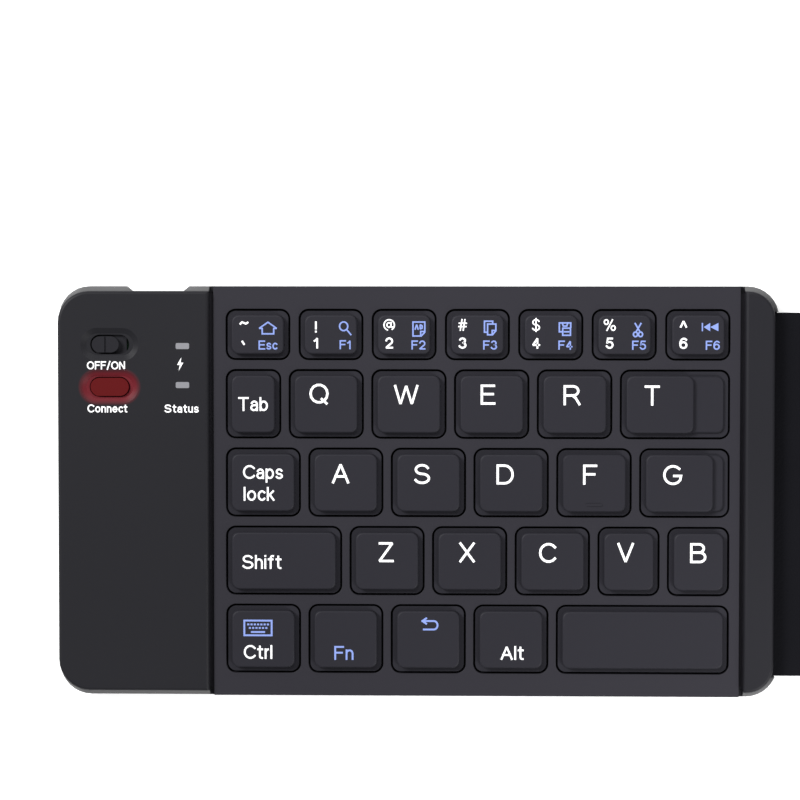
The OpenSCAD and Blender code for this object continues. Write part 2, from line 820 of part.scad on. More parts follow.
module dome(r) {
    body_h = high_z - sheet_top - 3 * dome_wall;
    cylinder(r1 = r, r2 = r * dome_shoulder + dome_wall, h = body_h, $fn = ROUND_FN);
    cylinder(r = dome_button_r, h = ceiling_z - cap_top / 2 - hook_gap - sheet_top, $fn = ROUND_FN);
}

module domes(keys) {
    for (k = keys) translate([k[TOP_X], k[KEY_Y], sheet_top - hook_gap]) dome(dome_r(k));
}

module dome_hollows(keys) {
    for (k = keys) {
        translate([k[TOP_X], k[KEY_Y], membrane_top - hook_gap])
            cylinder(r1 = dome_r(k) - dome_wall, r2 = dome_r(k) * dome_shoulder, h = key_travel,
                     $fn = ROUND_FN);
    }
}

module left_dome_sheet() {
    color(SILICONE) difference() {
        union() {
            left_half() layer(lap_end + fit, panel_start + tongue, membrane_top, sheet_h);
            domes(LEFT_KEYS);
        }
        dome_hollows(LEFT_KEYS);
        at_mechs(LEFT_KEYS) hook_holes(membrane_top - CUT, sheet_h + 2 * CUT);
    }
}

module right_dome_sheet() {
    color(SILICONE) difference() {
        union() {
            right_half() intersection() {
                layer(lap_end + fit, right_length, membrane_top, sheet_h);
                round_end(membrane_top, sheet_h);
            }
            domes(RIGHT_KEYS);
        }
        dome_hollows(RIGHT_KEYS);
        at_mechs(RIGHT_KEYS) hook_holes(membrane_top - CUT, sheet_h + 2 * CUT);
    }
}

// One link: two side bars that rise towards `rise`, and a round bar across each end.
module link(side_x, end_w, length, rise) {
    middle_z = (low_z + high_z) / 2;
    tilt = atan2(high_z - low_z, 2 * length);
    slant = 2 * length / cos(tilt);
    for (x = [-1, 1]) {
        translate([x * (side_x + bar_w / 2), 0, middle_z]) rotate([rise * tilt, 0, 0])
            cube([bar_w, slant, bar_h], center = true);
    }
    for (y = [-1, 1]) {
        translate([-end_w, y * length, y == rise ? high_z : low_z]) rotate([0, 90, 0])
            cylinder(r = pin_r, h = 2 * end_w, $fn = ROUND_FN);
    }
}

module links() {
    link(outer_bar($k), mech_w($k), mech_l($k), 1);
    link(inner_bar($k), inner_bar($k) + bar_w, mech_l($k), -1);
}

module left_scissor_links() {
    color(LINK) at_mechs(LEFT_KEYS) links();
}

module right_scissor_links() {
    color(LINK) at_mechs(RIGHT_KEYS) links();
}

// The clips under a keycap hold the links' upper ends.
module cap_hooks() {
    low = high_z - pin_r - hook_gap - hook_t;
    for (x = [-1, 1]) {
        translate([x * outer_hook_x($k), mech_l($k), 0]) hook(1, low, ceiling_z + hook_gap, low);
        translate([x * inner_hook_x($k), -mech_l($k), 0]) hook(-1, low, ceiling_z + hook_gap, low);
    }
}

// A keycap's raised part: a slight draft, then a soft edge round the flat top.
module cap_top_block(w, d, z0, z1) {
    r = key_corner - face_inset / 2;
    in = 2 * (cap_draft + cap_soft);
    loft([[soft_rect(w, d, r), z0],
          [soft_rect(w - 2 * cap_draft, d - 2 * cap_draft, r), z1 - cap_soft],
          [soft_rect(w - in, d - in, r - cap_soft / 2), z1]]);
}

module keycap(k) {
    skirt_r = key_corner - key_gap;
    is_stepped = k[TOP_W] < k[KEY_W] - 2 * face_inset - CUT;
    shelf_end = k[KEY_X] + k[KEY_W] / 2 - face_inset;
    difference() {
        union() {
            translate([k[KEY_X], k[KEY_Y], skirt_z])
                rounded_block(k[KEY_W] - 2 * key_gap, k[KEY_D] - 2 * key_gap, skirt_r, skirt_h);
            translate([k[TOP_X], k[KEY_Y], 0]) cap_top_block(k[TOP_W], top_d(k), skirt_z + CUT, key_top);
            // The low shelf runs from inside the raised part to the other edge.
            if (is_stepped)
                translate([(k[TOP_X] + shelf_end) / 2, k[KEY_Y], 0])
                    cap_top_block(shelf_end - k[TOP_X], top_d(k) - 2 * link_gap, skirt_z + CUT, shelf_top);
        }
        translate([k[TOP_X], k[KEY_Y], skirt_z - CUT])
            rounded_block(k[TOP_W] - 2 * cap_wall, top_d(k) - 2 * cap_wall, hollow_r,
                          ceiling_z - skirt_z + CUT);
    }
    at_mechs([k]) cap_hooks();
    // The plunger over the dome.
    translate([k[TOP_X], k[KEY_Y], ceiling_z - cap_top / 2])
        cylinder(r = plunger_r, h = cap_top, $fn = ROUND_FN);
    // The bar that the finger finds on the two home keys.
    if (k[NAME] == "key_f" || k[NAME] == "j")
        translate([k[TOP_X], k[KEY_Y] - homing_y, key_top - homing_h])
            pill(homing_w, homing_d, 2 * homing_h);
}

module left_key(k) {
    color(CAP) keycap(k);
}

module right_number_keys() {
    color(CAP) for (k = RIGHT_KEYS) if (k[ROW] == 0) keycap(k);
}

module right_letter_keys() {
    color(CAP) for (k = RIGHT_KEYS) if (k[ROW] > 0 && k[ROW] < LAST_ROW) keycap(k);
}

module right_bottom_keys() {
    color(CAP) for (k = RIGHT_KEYS) if (k[ROW] == LAST_ROW) keycap(k);
}

// ---- Controls, board and battery ----

board_v = rim + wall + 2 * fit;
board_in = 0.8;
board_left_u = wall + board_in;
board_right_u = panel_length - tongue - 2 * fit;
board_mid_v = board_v + board_d / 2;
boss_r = 1.5;
boss_in = 2;
boss_v = 6;
BOARD_BOSSES = [
    for (u = [board_left_u + boss_in, board_right_u - boss_in])
        for (v = [board_v + boss_v, board_v + board_d - boss_in])
            [left_length - u, v]];
battery_rear = 3;
battery_w = panel_length - tongue - board_left_u - battery_side;
battery_d = depth - corner_r - post_r - battery_front - board_v - board_d - battery_rear;
battery_u = board_left_u + battery_w / 2;
battery_v = board_v + board_d + battery_rear + battery_d / 2;
lamp_u = panel_length - lamp_in;
lamp_fit = 0.05;
lamp_r = 0.35;
switch_w = 8.6;
switch_d = 3.6;
switch_h = 1.3;
push_w = 4;
prong_w = 1.6;
prong_d = 1;
prong_gap = 0.2;
prong_rise = 0.6;
guard_h = 0.35;
guard_r = 0.5;
slider_guard = 0.3;
button_guard = 0.7;
button_sink = 0.2;
button_air = 0.05;
stem_r = 1;
chip_u = 22;
chip_w = 5;
chip_h = 1;
switch_floor = 0.4;
crystal_w = 3.2;
crystal_d = 2.4;
crystal_h = 0.9;
lamp_chip_w = 1.6;
lamp_chip_d = 0.8;
lamp_chip_h = 0.6;
lamp_air = 0.1;
lamp_z = board_top + lamp_chip_h + lamp_air;

// A component on the board, centred where it stands.
module component(w, d, h) {
    translate([-w / 2, -d / 2, 0]) cube([w, d, h]);
}

module control_board() {
    s_slot = left_length - slot_u;
    on_board = board_top - hook_gap;
    color(BOARD) left_half() difference() {
        union() {
            // The board's rear corner follows the shell's.
            translate([0, 0, board_z]) intersection() {
                block(left_length - board_right_u, left_length - board_left_u, board_v,
                      board_v + board_d, board_h);
                translate([-spine_gap / 2 - left_length / 2, 0, 0])
                    rounded_block(left_length - 2 * wall - 4 * fit, depth - 2 * wall - 4 * fit,
                                  corner_r - wall, board_h);
            }
            // Slide switch under the power slider.
            at(s_slot, slot_v, on_board) component(switch_w, switch_d, switch_h);
            // Push switch under the connect button.
            at(s_slot, button_v, on_board) component(push_w, push_w, switch_h);
            // Radio chip and its crystal.
            at(left_length - chip_u, button_v, on_board) component(chip_w, chip_w, chip_h);
            at(left_length - chip_u, button_v + chip_w, on_board)
                component(crystal_w, crystal_d, crystal_h);
            // Lamps under the light pipes.
            for (v = [charge_lamp_v, status_lamp_v])
                at(left_length - lamp_u, v, on_board) component(lamp_chip_w, lamp_chip_d, lamp_chip_h);
        }
        at(left_length - corner_r, corner_r, board_z - CUT)
            cylinder(r = post_r + hole_gap, h = board_h + 2 * CUT, $fn = ROUND_FN);
        // The slot that the slider's prong moves in.
        at(s_slot, slot_v, board_top + switch_floor)
            component(prong_w + slider_travel + 2 * hole_gap, prong_d + 2 * prong_gap, switch_h);
    }
}

module usb_socket() {
    shell_t = 0.3;
    tongue_h = 0.6;
    tongue_in = 1;
    color(STEEL) left_half() at(left_length - socket_u, rim, board_top) {
        difference() {
            translate([-socket_w / 2, -socket_l, 0]) cube([socket_w, socket_l, socket_h]);
            translate([-socket_w / 2 + shell_t, -socket_l + shell_t, shell_t])
                cube([socket_w - 2 * shell_t, socket_l, socket_h - 2 * shell_t]);
        }
        translate([-socket_w / 4, -socket_l + shell_t / 2, socket_h / 2])
            cube([socket_w / 2, socket_l - tongue_in, tongue_h]);
    }
}

module battery() {
    tab_u = 4;
    tab_half = 1;
    tab_lap = 1.5;
    tab_h = 0.15;
    color(FOIL) left_half() {
        at(left_length - battery_u, battery_v, floor_top) component(battery_w, battery_d, battery_h);
        // Two tabs lie on the control board.
        for (u = [-tab_u, tab_u])
            translate([0, 0, board_top])
                block(left_length - battery_u + u - tab_half, left_length - battery_u + u + tab_half,
                      board_v + board_d - tab_lap, battery_v - battery_d / 2 + tab_lap, tab_h);
    }
}

module light_pipes() {
    color(LAMP) left_half()
        for (v = [charge_lamp_v, status_lamp_v])
            at(left_length - lamp_u, v, lamp_z) rounded_block(lamp_w, lamp_d, lamp_r, cover_top - lamp_z);
}

module power_slider() {
    s_knob = left_length - slot_u + slider_travel / 2;
    groove_w = 0.4;
    groove_h = 0.25;
    color(CASE) left_half() at(s_knob, slot_v) {
        difference() {
            translate([0, 0, rim_top - fit - guard_h])
                pill(knob_w, knob_d, cover_h - dish_h / 2 + guard_h + fit);
            translate([-groove_w / 2, -knob_d, cover_top - dish_h / 2 - groove_h])
                cube([groove_w, 2 * knob_d, 2 * groove_h]);
        }
        // The guard under the cover keeps the slider in and the slot closed.
        translate([0, 0, rim_top - fit - guard_h])
            rounded_block(slot_w + 2 * slider_guard, slot_d + 3 * slider_guard, guard_r, guard_h);
        translate([0, 0, board_top + prong_rise])
            component(prong_w, prong_d, rim_top - board_top - prong_rise - fit - guard_h / 2);
    }
}

module connect_button() {
    s_button = left_length - slot_u;
    reach = board_top + switch_h + button_travel + button_air;
    color(RED) left_half() at(s_button, button_v) {
        translate([0, 0, rim_top - fit - guard_h])
            pill(button_w, button_d, cover_h - button_sink + guard_h + fit);
        translate([0, 0, rim_top - fit - guard_h])
            rounded_block(button_w + 2 * button_guard, button_d + 2 * button_guard, guard_r, guard_h);
        translate([0, 0, reach]) cylinder(r = stem_r, h = rim_top - fit - reach, $fn = ROUND_FN);
    }
}

// ---- Spine ----

module spine_skin() {
    slot_h = cable_h + 2 * link_gap;
    half_l = spine_gap / 2 + spine_tuck;
    color(SPINE) translate([fold_x, spine_y, 0]) difference() {
        translate([-half_l, -spine_w / 2, floor_top]) cube([2 * half_l, spine_w, spine_h]);
        // The way that the cable runs through.
        translate([-half_l - CUT, -cable_w / 2 - link_gap - spine_y, membrane_top - link_gap])
            cube([2 * (half_l + CUT), cable_w + 2 * link_gap, slot_h]);
        for (m = [0, 1]) mirror([m, 0, 0]) translate([0, -spine_y, 0])
            at_all(STRIP_SCREWS, floor_top - CUT)
                cylinder(r = post_r + hole_gap, h = spine_h + 2 * CUT, $fn = ROUND_FN);
    }
}

module spine_cable() {
    half_l = spine_gap / 2 + lap_end;
    color(COPPER) translate([fold_x - half_l, -cable_w / 2, membrane_top])
        cube([2 * half_l, cable_w, cable_h]);
}

// ---- Nodes ----

left_bottom_shell();
left_key_frame();
control_panel_cover();
left_hinge_strip();
left_key_plate();
left_membrane();
left_dome_sheet();
left_scissor_links();
control_board();
battery();
usb_socket();
light_pipes();
power_slider();
connect_button();
left_feet();
left_screws();
spine_skin();
spine_cable();
for (k = LEFT_KEYS) left_key(k);
right_bottom_shell();
right_key_frame();
right_hinge_strip();
right_key_plate();
right_membrane();
right_dome_sheet();
right_scissor_links();
right_feet();
right_screws();
right_number_keys();
right_letter_keys();
right_bottom_keys();
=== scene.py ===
# %% [markdown]
# # A folding pocket keyboard
#
# The keyboard folds like a book: two thin halves, joined by a soft rubber spine.
# The solids come from CAD. This lesson gives them what a bench model lacks: softened
# edges, moulded plastic, printed legends, links and domes cut apart key by key, and a
# spine cut into short lengths.

# %% Load the solids
import json
import math

import bmesh
import bpy
from mathutils import Matrix, Vector


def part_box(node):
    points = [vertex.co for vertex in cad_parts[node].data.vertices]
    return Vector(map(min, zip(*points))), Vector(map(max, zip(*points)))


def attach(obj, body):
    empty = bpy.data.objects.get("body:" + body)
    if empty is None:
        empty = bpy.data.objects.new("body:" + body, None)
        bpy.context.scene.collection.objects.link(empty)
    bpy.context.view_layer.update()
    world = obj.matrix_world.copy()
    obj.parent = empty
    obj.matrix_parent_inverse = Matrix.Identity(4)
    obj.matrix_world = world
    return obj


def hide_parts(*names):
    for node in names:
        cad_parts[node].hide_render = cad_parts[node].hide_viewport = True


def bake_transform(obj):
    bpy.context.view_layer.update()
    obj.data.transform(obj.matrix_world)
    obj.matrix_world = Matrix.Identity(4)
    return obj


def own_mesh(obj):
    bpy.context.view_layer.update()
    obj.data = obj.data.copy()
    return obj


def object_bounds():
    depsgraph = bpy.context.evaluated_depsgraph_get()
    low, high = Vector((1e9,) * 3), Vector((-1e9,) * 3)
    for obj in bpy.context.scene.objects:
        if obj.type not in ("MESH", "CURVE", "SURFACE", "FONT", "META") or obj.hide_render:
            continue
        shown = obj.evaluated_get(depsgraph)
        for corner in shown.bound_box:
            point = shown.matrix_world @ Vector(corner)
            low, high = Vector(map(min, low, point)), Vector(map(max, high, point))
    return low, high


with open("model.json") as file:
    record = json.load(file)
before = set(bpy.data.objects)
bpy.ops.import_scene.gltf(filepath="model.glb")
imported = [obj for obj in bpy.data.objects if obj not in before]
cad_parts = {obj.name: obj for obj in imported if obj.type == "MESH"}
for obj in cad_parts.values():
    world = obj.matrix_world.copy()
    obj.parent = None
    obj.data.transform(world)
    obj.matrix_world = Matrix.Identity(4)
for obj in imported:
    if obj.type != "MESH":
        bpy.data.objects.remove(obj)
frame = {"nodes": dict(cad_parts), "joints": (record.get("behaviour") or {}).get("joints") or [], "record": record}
cad_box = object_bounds()
MM = 0.001
MICRON = 0.000001
bodies = frame["record"]["behaviour"]["bodies"]
BODY_OF = {node: body for body, nodes in bodies.items() for node in nodes}
print("solids:", len(BODY_OF), "box in mm:", [round((hi - lo) / MM, 1) for lo, hi in zip(*cad_box)])


# %% [markdown]
# ## Shader maths as Python
#
# A finish is a small sum: a colour, plus a little noise, times a mask. Wrapping a
# socket in a class lets that sum be written as one, and Blender gets its Math nodes.

# %% A socket that does arithmetic
class Socket:
    """One output of a shader node. Sums and products with it add Math nodes."""

    def __init__(self, finish, socket):
        self.finish = finish
        self.socket = socket

    def math(self, operation, first, second=0.0):
        return self.finish.node("ShaderNodeMath", {"operation": operation}, {0: first, 1: second})

    def __add__(self, other):
        return self.math("ADD", self, other)

    def __sub__(self, other):
        return self.math("SUBTRACT", self, other)

    def __rsub__(self, other):
        return self.math("SUBTRACT", other, self)

    def __mul__(self, other):
        return self.math("MULTIPLY", self, other)

    def __pow__(self, other):
        return self.math("POWER", self, other)

    def __abs__(self):
        return self.math("ABSOLUTE", self)

    def at_least(self, other):
        return self.math("MAXIMUM", self, other)

    def at_most(self, other):
        return self.math("MINIMUM", self, other)


class Finish:
    """A material under construction: a Principled shader and the nodes that feed it."""

    def __init__(self, name, **fixed):
        self.material = bpy.data.materials.new(name)
        self.material.use_nodes = True
        self.tree = self.material.node_tree
        self.tree.nodes.clear()
        self.shader = self.tree.nodes.new("ShaderNodeBsdfPrincipled")
        output = self.tree.nodes.new("ShaderNodeOutputMaterial")
        self.tree.links.new(self.shader.outputs[0], output.inputs[0])
        self.place = self.node("ShaderNodeTexCoord", output="Object")
        for socket, value in fixed.items():
            self.shader.inputs[socket.replace("_", " ")].default_value = value

    def node(self, kind, settings=None, inputs=None, output=0):
        """Adds a node, sets what it is, then feeds its inputs."""
        made = self.tree.nodes.new(kind)
        for key, value in (settings or {}).items():
            setattr(made, key, value)
        for key, value in (inputs or {}).items():
            self.feed(made.inputs[key], value)
        return Socket(self, made.outputs[output])

    def feed(self, target, value):
        if isinstance(value, Socket):
            self.tree.links.new(value.socket, target)
        else:
            target.default_value = value

    def noise(self, scale, detail=2.0, place=None):
        """Smooth noise from 0 to 1, in features of 1 / scale metres."""
        inputs = {"Vector": place or self.place, "Scale": scale, "Detail": detail}
        return self.node("ShaderNodeTexNoise", {}, inputs)

    def between(self, mask, low, high):
        """A colour that runs from low to high as the mask runs from 0 to 1."""
        return self.node("ShaderNodeMix", {"data_type": "RGBA"}, {0: mask, 6: low, 7: high}, 2)

    def axis(self, output):
        """One coordinate of the place on the object, in metres."""
        return self.node("ShaderNodeSeparateXYZ", {}, {0: self.place}, output)

    def surface(self, colour, roughness, height=None, relief=0.0):
        """Links what varies over the surface. The relief is in metres."""
        self.feed(self.shader.inputs["Base Color"], colour)
        self.feed(self.shader.inputs["Roughness"], roughness)
        if height is not None:
            bump = {"Height": height, "Distance": relief}
            self.feed(self.shader.inputs["Normal"], self.node("ShaderNodeBump", {}, bump))
        return self.material


# %% [markdown]
# ## Moulded plastic
#
# The case, the key frame and the keycaps are three mouldings in nearly the same
# charcoal. A mould gives plastic a fine spark texture, so light spreads a little
# and fingerprints vanish. Each finish is a dark base, a faint drift of colour over
# a few centimetres, and a fine grain in both roughness and relief.

# %% Plastics
# Scales of noise: a feature is 1 / scale metres across.
GRAIN = 6500
DRIFT = 14
# The drift's share of the colour.
DRIFT_SHARE = 0.7
# How much each noise adds to the roughness, and about what both add on average.
ROUGH_GRAIN = 0.16
ROUGH_DRIFT = 0.05
ROUGH_MEAN = 0.1
# How strongly a plastic reflects when it is seen square on.
MATT = 0.1
GLOSSY = 0.5


def moulded(name, dark, light, rough, relief, level=MATT, tint=None, tint_colour=None):
    """Plastic with a spark-eroded grain. A tint is a mask, and it brings its colour."""
    finish = Finish(name, Specular_IOR_Level=level)
    grain = finish.noise(GRAIN, 3.0)
    drift = finish.noise(DRIFT, 1.0)
    cloud = drift * DRIFT_SHARE + grain * (1 - DRIFT_SHARE)
    colour = finish.between(cloud, (*dark, 1), (*light, 1))
    if tint:
        colour = finish.between(tint(finish), colour, tint_colour)
    roughness = grain * ROUGH_GRAIN + drift * ROUGH_DRIFT + (rough - ROUGH_MEAN)
    return finish.surface(colour, roughness, grain, relief)


def ramp(value, scale):
    """A mask that rises from 0 to 1 as a value does from 0 to 1 / scale."""
    return (value * scale).at_least(0.0).at_most(1.0)


def round_place(finish, centre, half_length, radius, edge):
    """A mask in the shape of a pill: 1 inside, and 0 past a soft edge."""
    past_end = (abs(finish.axis(0) - centre.x) - half_length).at_least(0.0)
    aside = finish.axis(1) - centre.y
    distance = (past_end * past_end + aside * aside) ** 0.5
    return ramp(radius - distance, 1 / edge)


# The red tint is a pill with a soft edge. The grey of the rim's painted sheen starts some way from the middle.
button_low, button_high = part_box("connect_button")
BUTTON_PLACE = (button_low + button_high) / 2
DISH_TINT_HALF = 3.0 * MM
DISH_TINT_RADIUS = 4.3 * MM
DISH_TINT_EDGE = 1.3 * MM
DISH_RED = (0.105, 0.0105, 0.0155, 1)
# Painted sheen: the leaning rim is coloured lighter grey towards the front and the rear, as if it caught the light
# there.
SHEEN_FROM = 41 * MM
SHEEN_OVER = 5 * MM
PAINTED_SHEEN_GREY = (0.085, 0.085, 0.087, 1)


def dish_tint(finish):
    """Red in the dish round the connect button."""
    return round_place(finish, BUTTON_PLACE, DISH_TINT_HALF, DISH_TINT_RADIUS, DISH_TINT_EDGE)


def painted_sheen_tint(finish):
    """Painted sheen: grey near the front and the rear of the leaning rim, where it would catch the light."""
    return ramp(abs(finish.axis(1)) - SHEEN_FROM, 1 / SHEEN_OVER)


CHARCOAL = ((0.0108, 0.0106, 0.0130), (0.0156, 0.0154, 0.0188))
CASE = moulded("case_plastic", *CHARCOAL, rough=0.46, relief=12 * MICRON)
PANEL = moulded("panel_plastic", (0.0108, 0.0107, 0.0128), (0.0156, 0.0155, 0.0184),
                rough=0.46, relief=12 * MICRON, tint=dish_tint, tint_colour=DISH_RED)
# The rim's finish has a painted sheen, lighter grey towards the front and the rear.
RIM_WITH_SHEEN = moulded("rim_plastic_painted_sheen", *CHARCOAL, rough=0.40, relief=8 * MICRON,
              tint=painted_sheen_tint, tint_colour=PAINTED_SHEEN_GREY)
FRAME = moulded("frame_plastic", (0.0180, 0.0172, 0.0218), (0.0246, 0.0236, 0.0296),
                rough=0.48, relief=12 * MICRON)
KEYCAP = moulded("keycap_plastic", (0.0142, 0.0138, 0.0180), (0.0196, 0.0190, 0.0244),
                 rough=0.50, relief=14 * MICRON)
LAMP = moulded("lamp_plastic", (0.165, 0.165, 0.180), (0.215, 0.215, 0.232),
               rough=0.42, relief=4 * MICRON)
BUTTON = moulded("button_plastic", (0.068, 0.0024, 0.0030), (0.086, 0.0042, 0.0050),
                 rough=0.48, relief=12 * MICRON)
LINK = moulded("link_plastic", (0.70, 0.70, 0.67), (0.80, 0.80, 0.77),
               rough=0.40, relief=6 * MICRON, level=GLOSSY)
BOARD = moulded("board_laminate", (0.006, 0.060, 0.022), (0.010, 0.085, 0.032),
                rough=0.32, relief=6 * MICRON, level=GLOSSY)
print("plastics:", [m.name for m in bpy.data.materials])

# %% [markdown]
# ## Rubber, film, steel and ink
#
# Rubber scatters more and shines less than plastic, and the spine has a leather-like
# pebble. Stamped steel shows long brush lines along one direction, which a stretched
# noise gives. Ink is nearly flat: the print lies as a thin coat on the cap.

# %% Rubber and film
WEAR = 60
ROUGH_WEAR = 0.15
WEAR_MEAN = 0.07
PEBBLE_BLEND = 0.6


def rubber(name, dark, light, pebble, relief, rough=0.70, level=0.05):
    """Matt rubber, with a pebble of 1 / pebble metres."""
    finish = Finish(name, Specular_IOR_Level=level)
    inputs = {"Vector": finish.place, "Scale": pebble, "Smoothness": PEBBLE_BLEND}
    cells = finish.node("ShaderNodeTexVoronoi", {"feature": "SMOOTH_F1"}, inputs)
    wear = finish.noise(WEAR, 3.0)
    colour = finish.between(wear, (*dark, 1), (*light, 1))
    return finish.surface(colour, wear * ROUGH_WEAR + (rough - WEAR_MEAN), 1 - cells, relief)


SPINE = rubber("spine_rubber", (0.0025, 0.0025, 0.0036), (0.0048, 0.0048, 0.0066),
               pebble=1500, relief=60 * MICRON)
FOOT = rubber("foot_rubber", (0.012, 0.012, 0.012), (0.020, 0.020, 0.020),
              pebble=2500, relief=20 * MICRON)
DOME = rubber("dome_rubber", (0.012, 0.012, 0.013), (0.020, 0.020, 0.022),
              pebble=3000, relief=6 * MICRON, rough=0.60)
FILM = moulded("membrane_film", (0.50, 0.62, 0.54), (0.56, 0.68, 0.60),
               rough=0.25, relief=2 * MICRON, level=GLOSSY)
CABLE = moulded("cable_film", (0.45, 0.16, 0.03), (0.55, 0.20, 0.04),
                rough=0.30, relief=3 * MICRON, level=GLOSSY)


# %% Steel and foil
BRUSH = 2200
BRUSH_SHARE = 0.6
ROUGH_BRUSH = 0.18
PATCHES = 90
ROUGH_PATCHES = 0.08
BRUSH_RELIEF = 4 * MICRON


def metal(name, dark, light, rough, along):
    """Metal with brush lines along one direction."""
    finish = Finish(name, Metallic=1.0)
    inputs = {"Vector": finish.place, "Scale": along}
    lines = finish.noise(BRUSH, 4.0, finish.node("ShaderNodeMapping", {}, inputs))
    patches = finish.noise(PATCHES, 2.0)
    streaks = lines * BRUSH_SHARE + patches * (1 - BRUSH_SHARE)
    colour = finish.between(streaks, (*dark, 1), (*light, 1))
    roughness = lines * ROUGH_BRUSH + patches * ROUGH_PATCHES + rough
    return finish.surface(colour, roughness, lines, BRUSH_RELIEF)


STEEL = metal("steel", (0.30, 0.31, 0.33), (0.44, 0.45, 0.47), rough=0.26, along=(0.03, 1, 1))
FOIL = metal("battery_foil", (0.52, 0.53, 0.55), (0.66, 0.67, 0.69), rough=0.30, along=(1, 0.2, 1))


# %% Inks
COVER = 3000
ROUGH_COVER = 0.1
INK_ROUGH = 0.5
INK_LEVEL = 0.2


def ink(name, dark, light):
    """A thin coat of print, a little uneven where it covers the grain."""
    finish = Finish(name, Specular_IOR_Level=INK_LEVEL)
    cover = finish.noise(COVER, 2.0)
    colour = finish.between(cover, (*dark, 1), (*light, 1))
    return finish.surface(colour, cover * ROUGH_COVER + INK_ROUGH)


WHITE_INK = ink("white_ink", (0.80, 0.80, 0.81), (0.90, 0.90, 0.91))
BLUE_INK = ink("blue_ink", (0.165, 0.225, 0.51), (0.21, 0.28, 0.58))
print("finishes:", len(bpy.data.materials))

# %% [markdown]
# ## Softened copies
#
# A real moulding has no knife edge: even a tight corner has a radius of a tenth of a
# millimetre or two, and that is where it catches light. The CAD meshes are loose
# triangles, so each is copied, its doubles are merged and its flat facets joined, and
# only then are the sharp edges bevelled. The copy stands for the solid, which keeps
# its place in the motion model.

# %% Copy, merge and bevel
SMOOTH_BELOW = math.radians(38)
# A face square on to an axis or broader than this is shaded flat.
SQUARE_ON = 0.99999
BROAD = 40 * MM * MM
FLAT = math.radians(0.4)
MERGE = 2 * MICRON


def merged_copy(node):
    """A bmesh of a CAD node with its doubles merged."""
    work = bmesh.new()
    work.from_mesh(frame["nodes"][node].data)
    bmesh.ops.remove_doubles(work, verts=work.verts, dist=MERGE)
    return work


def soften(work, width, segments=2, above=None, angle=SMOOTH_BELOW):
    """Joins flat facets, then bevels the sharp outer edges, or those above a height."""
    bmesh.ops.dissolve_limit(work, angle_limit=FLAT, verts=work.verts, edges=work.edges)
    edges = [e for e in work.edges
             if e.is_manifold and e.calc_face_angle(0) > angle and e.is_convex
             and e.calc_length() > 2 * width
             and (above is None or min(v.co.z for v in e.verts) > above)]
    bmesh.ops.bevel(work, geom=edges, offset=width, offset_type="OFFSET", segments=segments,
                    profile=0.5, affect="EDGES", clamp_overlap=True, material=-1)
    return len(edges)


def new_piece(work, name, materials):
    """An object from a bmesh. Flat faces stay flat, and narrow curved ones blend."""
    for edge in work.edges:
        edge.smooth = not edge.is_manifold or edge.calc_face_angle(0) < SMOOTH_BELOW
    for face in work.faces:
        square = max(abs(part) for part in face.normal) > SQUARE_ON
        face.smooth = not square and face.calc_area() < BROAD
    mesh = bpy.data.meshes.new(name)
    work.to_mesh(mesh)
    work.free()
    for material in materials:
        mesh.materials.append(material)
    piece = bpy.data.objects.new(name, mesh)
    bpy.context.scene.collection.objects.link(piece)
    return piece


def finish_piece(work, name, materials, node, *others):
    """Turns a bmesh into a piece that rides where its node does and stands for it."""
    piece = new_piece(work, name, materials)
    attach(piece, BODY_OF[node])
    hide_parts(node, *others)
    return piece


def dress(node, material, width, segments=2, above=None):
    """The usual case: one node, one finish, softened edges."""
    work = merged_copy(node)
    count = soften(work, width, segments, above) if width else 0
    work.normal_update()
    piece = finish_piece(work, node + "_moulded", [material], node)
    print(f"{piece.name}: {count} edges softened, {len(piece.data.polygons)} faces")


def paint(node, material):
    """A solid whose shape is right as it is gets its finish only."""
    slots = frame["nodes"][node].data.materials
    slots.clear()
    slots.append(material)


# %% [markdown]
# ## Case parts
#
# The feet and the connect button get the widest radii, and the shells come next,
# because hands touch them. The key frame is a thin moulding with thirty pockets, and
# its pocket edges are nearly sharp. The covers come with rounded edges of their own.

# %% The strips, the shells and their rims
FOLDED = math.radians(178)
TIP = 0.15 * MM
SHELL_EDGE = 0.15 * MM
# The leaning rim, which gets the painted sheen: its faces lie above this height and look partly upwards.
RIM_LOW = 3.5 * MM
RIM_LEAN = (0.2, 0.97)


def folded_edges(work):
    """Edges where a face lies folded back on its neighbour."""
    work.normal_update()
    return [e for e in work.edges if e.is_manifold and e.calc_face_angle(0) > FOLDED]


def dress_strip(node):
    """A hinge strip. The tiny faces folded back at its corners are collapsed."""
    work = merged_copy(node)
    folds = folded_edges(work)
    tips = {min(f.edges, key=lambda e: e.calc_length()) for e in folds for f in e.link_faces}
    bmesh.ops.collapse(work, edges=[e for e in tips if e.calc_length() < TIP])
    print(node, "folds before and after:", len(folds), len(folded_edges(work)))
    finish_piece(work, node + "_moulded", [CASE], node)


def dress_shell(node):
    """A shell whose leaning rim has a painted sheen, lighter along the front and the rear."""
    work = merged_copy(node)
    count = soften(work, SHELL_EDGE)
    work.normal_update()
    for face in work.faces:
        leans = RIM_LEAN[0] < face.normal.z < RIM_LEAN[1]
        if leans and face.calc_center_median().z > RIM_LOW:
            face.material_index = 1
    print(node, "edges softened:", count, "rim faces:", sum(f.material_index for f in work.faces))
    finish_piece(work, node + "_moulded", [CASE, RIM_WITH_SHEEN], node)


# %% Dress the case
FRAME_EDGE = 0.12 * MM
# Only the edges within this band at the frame's top are softened.
FRAME_BAND = 0.05 * MM
FOOT_EDGE = 0.2 * MM
SLIDER_EDGE = 0.12 * MM
BUTTON_EDGE = 0.2 * MM
LAMP_EDGE = 0.1 * MM

